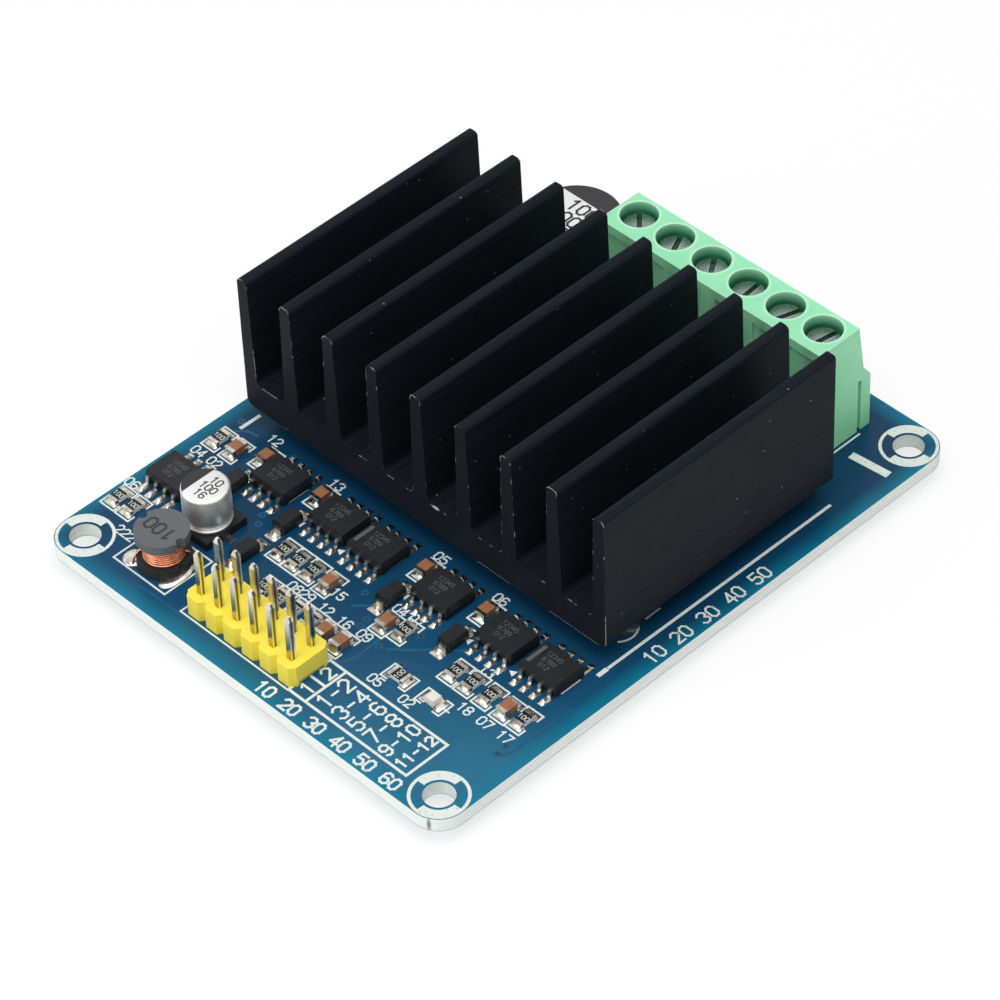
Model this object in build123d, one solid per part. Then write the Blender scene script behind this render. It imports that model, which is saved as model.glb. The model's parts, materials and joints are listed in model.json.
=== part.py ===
from build123d import *
import math
import os

# Twin-bridge DC motor driver module: a circuit board that carries a finned heatsink over
# eight power transistors, a row of six screw terminals, a two-row pin header, and the
# small chips and parts that switch the transistors.
# Frame: +X runs along the fins from the header to the terminals, +Y along the header's
# rows, +Z up. The origin is the centre of the four corner holes on the board's underside.
# All sizes are in millimetres.

# Circuit board. Its length follows from what stands on it, from the header's edge to the
# terminal's edge
board_width = 56.0
board_thickness = 1.6
corner_hole_inset = 3.1
corner_hole_diameter = 3.2
drill_clearance = 0.18
soldered_hole_sides = 8
tail_reach = 1.7

# Heatsink, an extruded comb of fins, black anodised
heatsink_length = 31.6
heatsink_clearance = 1.02
heatsink_centre_y = 0.25
heatsink_base = 3.4
heatsink_height = 16.6
fin_count = 9
fin_pitch = 6.09
fin_tip_thickness = 1.35
fin_root_thickness = 2.0
fin_root_radius = 0.6
fin_tip_radius = 0.45
heatsink_foot_radius = 0.9
thermal_pad_thickness = 0.28
thermal_pad_margin = 1.2

# Heatsink screws, driven up from under the board
heatsink_screw_inset_x = 5.45
heatsink_screw_inset_y = 3.0
heatsink_screw_diameter = 3.0
heatsink_screw_clearance = 0.1
heatsink_screw_head_diameter = 5.4
heatsink_screw_head_height = 1.55
heatsink_screw_bite = 2.6
heatsink_screw_hole_spare = 0.3
cross_recess_length = 2.8
cross_recess_width = 0.6
cross_recess_depth = 0.9

# Power transistors under the heatsink, two columns of four
transistor_column_spacing = 13.0
transistor_pitch_y = 11.0
transistor_rows = 4
transistor_body_length = 6.1
transistor_body_width = 6.6
transistor_height = 2.3
transistor_draft = 6.0
transistor_tab_thickness = 0.5
transistor_tab_width = 5.3
transistor_tab_reach = 1.1
transistor_tab_inset = 0.5
transistor_lead_width = 0.75
transistor_lead_thickness = 0.5
transistor_lead_spread = 2.28
transistor_lead_reach = 2.7
transistor_lead_height = 1.0
transistor_foot = 1.0

# Screw terminal, six poles with rising wire clamps
pole_count = 6
pole_pitch = 5.0
terminal_centre_y = -4.8
terminal_height = 13.8
terminal_depth = 7.5
terminal_top_depth = 5.65
terminal_slope_reach = 0.8
terminal_slope_foot_height = 8.15
terminal_shoulder_height = 6.7
terminal_screw_inset = 3.2
terminal_edge_margin = 3.3
heatsink_to_terminal = 3.33
terminal_floor = 1.3
well_diameter = 4.0
screw_head_diameter = 3.3
screw_head_depth = 1.3
screw_head_height = 1.6
screw_slot_width = 0.62
screw_slot_depth = 0.8
screw_shank_diameter = 2.5
screw_seat_thickness = 1.35
screw_seat_clearance = 0.1
screw_bore_clearance = 0.2
screw_slot_angles = (45.0, 25.0, 34.0, 5.0, -18.0, -10.0)
clamp_depth = 3.1
clamp_wall = 0.6
clamp_top_wall = 1.5
clamp_clearance = 0.2
clamp_shank_clearance = 0.1
thread_clearance = 0.04
wire_space = 2.8
bar_thickness = 0.6
bar_width = 1.9
bar_clearance = 0.2
bar_seat_depth = 0.5
tail_width = 1.0
wire_entry_side = 3.2
wire_entry_funnel = 0.35
wire_entry_taper = 45.0
back_pocket_width = 3.2
back_pocket_depth = 0.35
back_pocket_margin = 1.1
end_rib_depth = 1.3
end_groove_width = 0.55
end_groove_depth = 0.5

# Pin header, two rows of six square pins
header_columns = 2
header_rows = 6
header_pitch = 2.54
header_edge_inset = 4.12
header_first_y = 8.72
pin_side = 0.64
pin_height = 8.0
pin_point = 0.5
pin_point_side = 0.3
insulator_height = 2.5
insulator_notch_half_width = 0.44
insulator_notch_flat = 0.08
insulator_notch_depth = 0.6
insulator_channel_height = 0.5
insulator_foot_width = 0.9
pin_fit_clearance = 0.01

# Each place below is X from the board's edge by the header, and Y from its centre line

# Eight-lead small outline chips
chip_body_width = 3.9
chip_body_length = 4.9
chip_standoff = 0.12
chip_top = 1.6
chip_draft = 7.0
lead_pitch = 1.27
lead_width = 0.42
lead_thickness = 0.2
lead_span = 6.1
lead_shoulder = 0.28
lead_foot = 0.62
leads_a_side = 4
boost_converter_place = (14.4, 23.95)
gate_driver_places = [(21.15, 16.1), (21.2, 7.7), (21.15, -6.85), (21.15, -15.65)]
comparator_places = [(21.1, 2.1), (21.15, -21.6)]

# Moulded diodes with flat end tabs
diode_places = [(17.8, 19.45), (17.75, 11.45), (12.05, 11.45), (17.7, -3.2), (17.75, -11.75)]
diode_length = 2.7
diode_width = 1.6
diode_top = 1.3
diode_standoff = 0.1
diode_draft = 8.0
diode_tab_width = 0.95
diode_tab_thickness = 0.16
diode_tab_reach = 0.62

# Surface-mount chips with plated ends: resistors lie flat and thin, capacitors are taller
resistor_places_along_x = [
    (21.4, 25.5), (8.9, 26.5), (8.9, 24.3), (15.0, 9.1), (15.0, 7.0), (15.0, 4.9),
    (10.2, 6.7), (10.2, 4.6), (10.2, 2.3), (10.2, 0.1), (15.5, -7.4), (15.1, -14.8),
    (15.1, -17.0), (15.1, -19.4), (15.1, -23.9)]
resistor_places_along_y = [(11.0, -11.4)]
capacitor_places = [
    (21.4, 23.0), (22.6, 19.9), (22.6, 11.9), (22.6, -2.9), (22.6, -11.3), (15.0, -5.4),
    (14.9, 2.5), (10.1, -2.0), (10.1, -4.2), (15.0, -21.9)]
chip_part_length = 2.0
chip_part_width = 1.25
resistor_height = 0.55
capacitor_height = 0.95
end_cap_length = 0.38
end_cap_proud = 0.03

# Indicator lamp, a pale chip with a domed lens
lamp_place = (11.0, -16.0)
lamp_base_height = 0.35
lamp_lens_height = 0.8
lamp_lens_length = 1.25
lamp_draft = 8.0

# Drum inductor
inductor_place = (6.1, 16.5)
inductor_height = 4.5
inductor_radius = 2.77
inductor_flange = 1.05
inductor_post_radius = 1.2
inductor_winding_radius = 2.2
inductor_notch_radius = 0.5
winding_clearance = 0.02
inductor_pad_gap = 0.1

# Electrolytic capacitors. The large one stands between the heatsink's end and the terminal's
small_can_place = (12.45, 17.15)
small_can_diameter = 5.0
small_can_top = 5.4
small_can_base_side = 5.3
large_can_diameter = 10.0
large_can_heatsink_gap = 0.45
large_can_terminal_gap = 0.4
large_can_top = 9.6
large_can_base_side = 10.3
can_base_height_share = 0.17
can_base_chamfer_share = 0.16
can_edge_share = 0.06
can_crimp_share = 0.04
can_standoff = 0.1
can_lead_width_share = 0.16

# Levels and outlines that follow from the sizes above
board_top = board_thickness
chip_reach = max(x for x, y in gate_driver_places + comparator_places) + lead_span / 2
control_length = chip_reach + heatsink_clearance
power_length = heatsink_length + heatsink_to_terminal + terminal_depth + terminal_edge_margin
board_length = control_length + power_length
corner_hole_spacing_x = board_length - 2 * corner_hole_inset
corner_hole_spacing_y = board_width - 2 * corner_hole_inset
header_edge_x = -board_length / 2
header_first_x = header_edge_x + header_edge_inset
heatsink_start_x = header_edge_x + control_length
heatsink_end_x = heatsink_start_x + heatsink_length
heatsink_underside = board_top + transistor_height + thermal_pad_thickness
heatsink_width = (fin_count - 1) * fin_pitch + fin_tip_thickness
terminal_front_x = board_length / 2 - terminal_edge_margin
terminal_back_x = terminal_front_x - terminal_depth
terminal_top_front_x = terminal_back_x + terminal_top_depth
terminal_slope_foot_x = terminal_top_front_x + terminal_slope_reach
terminal_screw_x = terminal_back_x + terminal_screw_inset
end_rib_start_x = terminal_front_x - end_rib_depth
terminal_top = board_top + terminal_height
terminal_length = pole_count * pole_pitch
terminal_end_y = terminal_centre_y + terminal_length / 2
terminal_first_y = terminal_end_y - pole_pitch / 2
clamp_bottom = board_top + terminal_floor + clamp_clearance
wire_floor = clamp_bottom + clamp_wall
bar_bottom = wire_floor + wire_space
clamp_top = bar_bottom + bar_thickness + bar_clearance + clamp_top_wall
screw_head_top = terminal_top - screw_head_depth
screw_head_bottom = screw_head_top - screw_head_height
screw_seat_top = screw_head_bottom - screw_seat_clearance
cavity_top = screw_seat_top - screw_seat_thickness
clamp_width = screw_shank_diameter + 2 * (clamp_shank_clearance + clamp_wall)
cavity_half_width = clamp_width / 2 + clamp_clearance
cavity_front_x = terminal_screw_x + clamp_depth / 2 + clamp_clearance
cavity_back_x = terminal_screw_x - clamp_depth / 2 - 2 * clamp_clearance - bar_thickness
tail_centre_x = cavity_back_x + clamp_clearance / 2 + bar_thickness / 2
wire_entry_height = (wire_floor + bar_bottom) / 2
tail_hole_diameter = math.hypot(tail_width, bar_thickness) + drill_clearance
header_hole_diameter = pin_side * math.sqrt(2) + drill_clearance


def block(start, end):
    """A box between two opposite corners."""
    size = [high - low for low, high in zip(start, end)]
    middle = [(low + high) / 2 for low, high in zip(start, end)]
    return Pos(*middle) * Box(*size)


def disc(x, y, low, high, radius):
    """An upright cylinder between two levels."""
    return Pos(x, y, low) * Cylinder(radius, high - low, align=(Align.CENTER, Align.CENTER, Align.MIN))


def from_edge(places):
    """Places counted from the board's edge by the header, in the part's own frame."""
    return [(header_edge_x + x, y) for x, y in places]


def folded_strip(points, thickness, width):
    """A flat strip bent along a path in the XZ plane, which is its upper side."""
    outline = offset(Polyline(*points), amount=thickness, kind=Kind.INTERSECTION, side=Side.RIGHT)
    return extrude(Plane.XZ * make_face(outline), width / 2, both=True)


def pole_ys():
    """The Y place of each terminal pole, first pole nearest the large capacitor."""
    return [terminal_first_y - pole_pitch * index for index in range(pole_count)]


def header_pin_places():
    """The X and Y place of each header pin."""
    return [(header_first_x + header_pitch * column, header_first_y - header_pitch * row)
            for column in range(header_columns) for row in range(header_rows)]


def transistor_places():
    """X, Y and the way the leads point for each power transistor."""
    middle_x = (heatsink_start_x + heatsink_end_x) / 2
    places = []
    for row in range(transistor_rows):
        y = heatsink_centre_y + (row - (transistor_rows - 1) / 2) * transistor_pitch_y
        for way in (-1, 1):
            places.append((middle_x + way * transistor_column_spacing / 2, y, way))
    return places


def heatsink_screw_places():
    """The heatsink's two screws, at opposite corners of its base."""
    reach_y = heatsink_width / 2 - heatsink_screw_inset_y
    return [(heatsink_start_x + heatsink_screw_inset_x, heatsink_centre_y - reach_y),
            (heatsink_end_x - heatsink_screw_inset_x, heatsink_centre_y + reach_y)]


def large_can_place():
    """The large capacitor's centre, clear of the heatsink's end and of the terminal's."""
    return (heatsink_end_x + large_can_heatsink_gap + large_can_diameter / 2,
            terminal_end_y + large_can_terminal_gap + large_can_base_side / 2)


def soldered_hole(diameter):
    """A hole that solder fills, in a few flat sides round its circle."""
    return RegularPolygon(diameter / 2, soldered_hole_sides, major_radius=False)


def circuit_board():
    outline = RectangleRounded(board_length, board_width, corner_hole_inset)
    corners = GridLocations(corner_hole_spacing_x, corner_hole_spacing_y, 2, 2)
    outline -= corners * Circle(corner_hole_diameter / 2)
    for x, y in heatsink_screw_places():
        outline -= Pos(x, y) * Circle(heatsink_screw_diameter / 2 + heatsink_screw_clearance)
    for x, y in header_pin_places():
        outline -= Pos(x, y) * soldered_hole(header_hole_diameter)
    for y in pole_ys():
        outline -= Pos(tail_centre_x, y) * soldered_hole(tail_hole_diameter)
    return extrude(outline, board_thickness)


def heatsink_profile():
    """The comb's section in Y and Z: a base with tapered fins, rounded at root and tip."""
    half = heatsink_width / 2
    base_top = heatsink_underside + heatsink_base
    tip = heatsink_underside + heatsink_height
    points = [(-half, heatsink_underside), (half, heatsink_underside)]
    for index in reversed(range(fin_count)):
        middle = -half + fin_tip_thickness / 2 + fin_pitch * index
        tip_right = middle + fin_tip_thickness / 2
        tip_left = middle - fin_tip_thickness / 2
        if index < fin_count - 1:
            points.append((middle + fin_root_thickness / 2, base_top))
        points.append((tip_right, tip))
        points.append((tip_left, tip))
        if index > 0:
            points.append((middle - fin_root_thickness / 2, base_top))
    comb = make_face(Polyline(*points, close=True))
    feet = comb.vertices().filter_by(lambda v: abs(v.Y - heatsink_underside) < 1e-6)
    comb = fillet(feet, heatsink_foot_radius)
    roots = comb.vertices().filter_by(lambda v: abs(v.Y - base_top) < 1e-6)
    comb = fillet(roots, fin_root_radius)
    tips = comb.vertices().filter_by(lambda v: abs(v.Y - tip) < 1e-6)
    return fillet(tips, fin_tip_radius)


def heatsink():
    section = Plane.YZ.offset(heatsink_start_x) * Pos(heatsink_centre_y, 0) * heatsink_profile()
    comb = extrude(section, heatsink_length)
    for x, y in heatsink_screw_places():
        depth = heatsink_screw_bite + heatsink_screw_hole_spare
        radius = heatsink_screw_diameter / 2 + thread_clearance
        comb -= disc(x, y, heatsink_underside, heatsink_underside + depth, radius)
    return comb


def thermal_pad():
    """The insulating sheet between the transistors' backs and the heatsink."""
    length = heatsink_length - 2 * thermal_pad_margin
    width = heatsink_width - 2 * thermal_pad_margin
    sheet = Pos(heatsink_start_x + heatsink_length / 2, heatsink_centre_y) * Rectangle(length, width)
    for x, y in heatsink_screw_places():
        sheet -= Pos(x, y) * Circle(heatsink_screw_diameter / 2 + 2 * heatsink_screw_clearance)
    return extrude(Pos(0, 0, board_top + transistor_height) * sheet, thermal_pad_thickness)


def heatsink_screw(x, y):
    """A pan-head screw, head down under the board, with a cross recess."""
    radius = heatsink_screw_diameter / 2
    head_radius = heatsink_screw_head_diameter / 2
    head = disc(x, y, -heatsink_screw_head_height, 0, head_radius)
    shank = disc(x, y, 0, heatsink_underside + heatsink_screw_bite, radius)
    cross = Rectangle(cross_recess_length, cross_recess_width)
    cross += Rectangle(cross_recess_width, cross_recess_length)
    recess = extrude(Pos(x, y, -heatsink_screw_head_height) * cross, cross_recess_depth)
    return head + shank - recess


def transistor_tab(x, y, way):
    """The copper tab that the block is moulded on, soldered flat to the board."""
    back = x - way * (transistor_body_length / 2 + transistor_tab_reach)
    front = x + way * (transistor_body_length / 2 - transistor_tab_inset)
    return block(
        (min(back, front), y - transistor_tab_width / 2, board_top),
        (max(back, front), y + transistor_tab_width / 2, board_top + transistor_tab_thickness))


def transistor_body(x, y, way):
    """The moulded block, drafted from its base to its top and moulded round the tab."""
    base = Pos(x, y, board_top) * Rectangle(transistor_body_length, transistor_body_width)
    return extrude(base, transistor_height, taper=transistor_draft) - transistor_tab(x, y, way)


def transistor_lead(x, y, way):
    """One outer lead, bent down to the board."""
    start = transistor_body_length / 2 - transistor_lead_height * math.tan(math.radians(transistor_draft))
    end = transistor_body_length / 2 + transistor_lead_reach
    knee = end - transistor_foot
    bend = (start + knee) / 2 + transistor_lead_thickness
    high = transistor_lead_height + transistor_lead_thickness
    strip = folded_strip(
        [(start, high), (bend, high), (knee, transistor_lead_thickness), (end, transistor_lead_thickness)],
        transistor_lead_thickness, transistor_lead_width)
    turn = 0 if way > 0 else 180
    return Pos(x, y, board_top) * Rot(0, 0, turn) * strip


def terminal_section():
    """The housing's outline in X and Z: upright back, sloped front and a low shoulder."""
    return make_face(Polyline(
        (terminal_back_x, board_top),
        (terminal_front_x, board_top),
        (terminal_front_x, board_top + terminal_shoulder_height),
        (terminal_slope_foot_x, board_top + terminal_slope_foot_height),
        (terminal_top_front_x, terminal_top),
        (terminal_back_x, terminal_top),
        close=True))


def pole_space(y):
    """What one pole's screw, clamp, bar and wire take out of the housing."""
    well = disc(terminal_screw_x, y, screw_seat_top, terminal_top, well_diameter / 2)
    neck = disc(terminal_screw_x, y, cavity_top, screw_seat_top,
                screw_shank_diameter / 2 + screw_bore_clearance)
    cage_room = block(
        (cavity_back_x, y - cavity_half_width, board_top + terminal_floor),
        (cavity_front_x, y + cavity_half_width, cavity_top))
    bar_seat = block(
        (cavity_front_x, y - bar_width / 2 - thread_clearance, bar_bottom - thread_clearance),
        (cavity_front_x + bar_seat_depth, y + bar_width / 2 + thread_clearance,
         bar_bottom + bar_thickness + thread_clearance))
    tail_slot = block(
        (tail_centre_x - bar_thickness / 2 - thread_clearance, y - tail_width / 2 - thread_clearance,
         board_top),
        (tail_centre_x + bar_thickness / 2 + thread_clearance, y + tail_width / 2 + thread_clearance,
         board_top + terminal_floor))
    half_entry = wire_entry_side / 2
    entry = block(
        (cavity_front_x, y - half_entry, wire_entry_height - half_entry),
        (terminal_front_x, y + half_entry, wire_entry_height + half_entry))
    mouth_side = wire_entry_side + 2 * wire_entry_funnel * math.tan(math.radians(wire_entry_taper))
    mouth_plane = Plane((terminal_front_x, y, wire_entry_height), z_dir=(-1, 0, 0))
    funnel = extrude(
        mouth_plane * Rectangle(mouth_side, mouth_side), wire_entry_funnel, taper=wire_entry_taper)
    pocket = block(
        (terminal_back_x, y - back_pocket_width / 2, board_top + back_pocket_margin),
        (terminal_back_x + back_pocket_depth, y + back_pocket_width / 2, terminal_top - back_pocket_margin))
    return [well, neck, cage_room, bar_seat, tail_slot, entry, funnel, pocket]


def terminal_housing():
    """One moulding for all poles, with an upright groove beside each end's interlocking rib."""
    section = Plane.XZ.offset(-terminal_end_y) * terminal_section()
    housing = extrude(section, terminal_length)
    for y in pole_ys():
        for space in pole_space(y):
            housing -= space
    for side in (-1, 1):
        end = terminal_centre_y + side * terminal_length / 2
        groove = block(
            (end_rib_start_x - end_groove_width, end - end_groove_depth, board_top),
            (end_rib_start_x, end + end_groove_depth, board_top + terminal_shoulder_height))
        housing -= groove
    return housing


def terminal_screw(y, slot_angle):
    """A slotted cheese-head screw that turns on its seat without rising."""
    head = disc(terminal_screw_x, y, screw_head_bottom, screw_head_top, screw_head_diameter / 2)
    tip = bar_bottom + bar_thickness + bar_clearance
    shank = disc(terminal_screw_x, y, tip, screw_head_bottom, screw_shank_diameter / 2)
    slot = Pos(terminal_screw_x, y, screw_head_top) * Rot(0, 0, slot_angle) * Box(
        2 * screw_head_diameter, screw_slot_width, 2 * screw_slot_depth)
    return head + shank - slot


def wire_clamp(y):
    """A folded cage that the screw draws up, so that its floor presses the wire to the bar."""
    height = clamp_top - clamp_bottom
    outline = Rectangle(clamp_width, height)
    window_height = height - clamp_wall - clamp_top_wall
    window = Rectangle(clamp_width - 2 * clamp_wall, window_height)
    window = Pos(0, (clamp_wall - clamp_top_wall) / 2) * window
    plane = Plane(
        (terminal_screw_x - clamp_depth / 2, y, clamp_bottom + height / 2),
        x_dir=(0, 1, 0), z_dir=(1, 0, 0))
    cage = extrude(plane * (outline - window), clamp_depth)
    return cage - disc(terminal_screw_x, y, clamp_top - clamp_top_wall, clamp_top,
                       screw_shank_diameter / 2 + thread_clearance)


def terminal_pin(y):
    """The fixed bar across the clamp's window, bent down to a tail through the board."""
    bar = block(
        (tail_centre_x - bar_thickness / 2, y - bar_width / 2, bar_bottom),
        (cavity_front_x + bar_seat_depth - thread_clearance, y + bar_width / 2, bar_bottom + bar_thickness))
    tail = block(
        (tail_centre_x - bar_thickness / 2, y - tail_width / 2, -tail_reach),
        (tail_centre_x + bar_thickness / 2, y + tail_width / 2, bar_bottom))
    return bar + tail


def header_insulator():
    """The moulded strip: octagonal poles side by side, standing on two long feet."""
    length = header_rows * header_pitch
    width = header_columns * header_pitch
    middle_x = header_first_x + (header_columns - 1) * header_pitch / 2
    middle_y = header_first_y - (header_rows - 1) * header_pitch / 2
    outline = Rectangle(width, length)
    notch_half = insulator_notch_half_width + insulator_notch_flat
    for side in (-1, 1):
        edge = side * width / 2
        deep = edge - side * insulator_notch_depth
        for index in range(header_rows + 1):
            y = -length / 2 + header_pitch * index
            outline -= make_face(Polyline(
                (edge, y - notch_half), (deep, y - insulator_notch_flat),
                (deep, y + insulator_notch_flat), (edge, y + notch_half), close=True))
    strip = extrude(Pos(middle_x, middle_y, board_top) * outline, insulator_height)
    channel = Pos(middle_x, middle_y, board_top + insulator_channel_height / 2) * Box(
        width - 2 * insulator_foot_width, length, insulator_channel_height)
    strip -= channel
    for x, y in header_pin_places():
        strip -= Pos(x, y, board_top + insulator_height / 2) * Box(
            pin_side + 2 * pin_fit_clearance, pin_side + 2 * pin_fit_clearance, insulator_height)
    return strip


def header_pin(x, y):
    """A square pin, pointed at both ends: two pointed bars where they cross at right angles."""
    bottom = -tail_reach
    top = board_top + pin_height
    half = pin_side / 2
    tip = pin_point_side / 2
    section = make_face(Polyline(
        (-tip, bottom), (tip, bottom), (half, bottom + pin_point), (half, top - pin_point),
        (tip, top), (-tip, top), (-half, top - pin_point), (-half, bottom + pin_point), close=True))
    bar = extrude(Plane.XZ * section, half, both=True)
    return Pos(x, y, 0) * (bar & Rot(0, 0, 90) * bar)


def outline_chip_body(x, y):
    """The moulded block, drafted both ways from its parting line."""
    middle = board_top + (chip_standoff + chip_top) / 2
    face = Pos(x, y, middle) * Rectangle(chip_body_width, chip_body_length)
    half_height = (chip_top - chip_standoff) / 2
    body = extrude(face, half_height, taper=chip_draft)
    return body + extrude(face, -half_height, taper=chip_draft)


def outline_chip_leads(x, y):
    """Gull-wing leads down both long sides."""
    middle = (chip_standoff + chip_top) / 2
    reach = lead_span / 2
    top = middle + lead_thickness / 2
    knee = chip_body_width / 2 + lead_shoulder
    strip = folded_strip(
        [(chip_body_width / 2, top), (knee, top), (reach - lead_foot, lead_thickness),
         (reach, lead_thickness)], lead_thickness, lead_width)
    leads = []
    for turn in (0, 180):
        for index in range(leads_a_side):
            offset = (index - (leads_a_side - 1) / 2) * lead_pitch
            leads.append(Pos(x, y + offset, board_top) * Rot(0, 0, turn) * strip)
    return leads


def diode_body(x, y):
    middle = board_top + (diode_standoff + diode_top) / 2
    face = Pos(x, y, middle) * Rectangle(diode_length, diode_width)
    half_height = (diode_top - diode_standoff) / 2
    return extrude(face, half_height, taper=diode_draft) + extrude(face, -half_height, taper=diode_draft)


def diode_tabs(x, y):
    """A flat foot at each end, from just under the body to beyond it."""
    tabs = []
    draft = (diode_top - diode_standoff) / 2 * math.tan(math.radians(diode_draft))
    tab_top = board_top + (diode_standoff + diode_top) / 2
    for way in (-1, 1):
        inner = x + way * (diode_length / 2 - draft)
        outer = x + way * (diode_length / 2 + diode_tab_reach)
        foot = block(
            (min(inner, outer), y - diode_tab_width / 2, board_top),
            (max(inner, outer), y + diode_tab_width / 2, board_top + diode_standoff))
        rise_start = x + way * diode_length / 2
        rise_end = rise_start + way * diode_tab_thickness
        rise = block(
            (min(rise_start, rise_end), y - diode_tab_width / 2, board_top + diode_standoff),
            (max(rise_start, rise_end), y + diode_tab_width / 2, tab_top))
        tabs.append(foot + rise)
    return tabs


def chip_part(x, y, height, along_y):
    """A plated chip: its body between the two end caps, which stand a little proud."""
    turn = 90 if along_y else 0
    place = Pos(x, y, board_top) * Rot(0, 0, turn)
    half = chip_part_length / 2 - end_cap_length
    body = place * block(
        (-half, -chip_part_width / 2, end_cap_proud), (half, chip_part_width / 2, height - end_cap_proud))
    caps = []
    for way in (-1, 1):
        near = way * half
        far = way * chip_part_length / 2
        caps.append(place * block(
            (min(near, far), -chip_part_width / 2 - end_cap_proud, 0),
            (max(near, far), chip_part_width / 2 + end_cap_proud, height)))
    return body, caps


def lamp_body(x, y):
    """A flat base under a drafted lens."""
    half = chip_part_length / 2 - end_cap_length
    base = Pos(x, y, board_top) * block(
        (-chip_part_width / 2, -half, end_cap_proud), (chip_part_width / 2, half, lamp_base_height))
    lens_foot = Pos(x, y, board_top + lamp_base_height) * Rectangle(chip_part_width, lamp_lens_length)
    lens = extrude(lens_foot, lamp_lens_height - lamp_base_height, taper=lamp_draft)
    return base + lens


def lamp_ends(x, y):
    ends = []
    for way in (-1, 1):
        near = y + way * (chip_part_length / 2 - end_cap_length)
        far = y + way * chip_part_length / 2
        ends.append(block(
            (x - chip_part_width / 2, min(near, far), board_top),
            (x + chip_part_width / 2, max(near, far), board_top + lamp_base_height)))
    return ends


def inductor_core(x, y):
    """The ferrite drum: two flanges on a post, each with a notch at both sides for the wire."""
    low = board_top + inductor_pad_gap
    high = board_top + inductor_height
    drum = disc(x, y, low, low + inductor_flange, inductor_radius)
    drum += disc(x, y, high - inductor_flange, high, inductor_radius)
    drum += disc(x, y, low + inductor_flange, high - inductor_flange, inductor_post_radius)
    for side in (-1, 1):
        drum -= disc(x, y + side * inductor_radius, low, high, inductor_notch_radius)
    return drum


def inductor_winding(x, y):
    """The wound coil as one sleeve on the post."""
    low = board_top + inductor_pad_gap + inductor_flange
    high = board_top + inductor_height - inductor_flange
    sleeve = disc(x, y, low, high, inductor_winding_radius)
    sleeve -= disc(x, y, low, high, inductor_post_radius + winding_clearance)
    return sleeve


def can_base(place, side):
    """The square plastic foot, two corners cut off on the marked side."""
    x, y = place
    height = side * can_base_height_share
    cut = side * can_base_chamfer_share
    half = side / 2
    outline = make_face(Polyline(
        (-half, -half), (half, -half), (half, half - cut), (half - cut, half), (cut - half, half),
        (-half, half - cut), close=True))
    return extrude(Pos(x, y, board_top + can_standoff) * outline, height)


def can_body(place, diameter, top, side):
    """The drawn aluminium can: a groove pressed in above its foot and a broken top edge."""
    x, y = place
    low = board_top + can_standoff + side * can_base_height_share
    high = board_top + top
    radius = diameter / 2
    edge = diameter * can_edge_share
    crimp = diameter * can_crimp_share
    section = make_face(Polyline(
        (0, low), (radius, low), (radius, low + crimp), (radius - crimp, low + 2 * crimp),
        (radius, low + 3 * crimp), (radius, high - edge), (radius - edge, high), (0, high), close=True))
    return Pos(x, y, 0) * revolve(Plane.XZ * section, Axis.Z)


def can_leads(place, side, along_x):
    """Two flat leads that run out from under the foot."""
    x, y = place
    width = side * can_lead_width_share
    leads = []
    for way in (-1, 1):
        near = way * side / 4
        far = way * (side / 2 + width)
        lead = block(
            (min(near, far), -width / 2, 0), (max(near, far), width / 2, can_standoff))
        leads.append(Pos(x, y, board_top) * Rot(0, 0, 0 if along_x else 90) * lead)
    return leads


def save(name, shapes):
    solids = []
    for shape in shapes:
        solids.extend(shape.solids())
    whole = solids[0] if len(solids) == 1 else Compound(children=solids)
    whole.label = name
    export_step(whole, f"parts/{name}.step")


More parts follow.
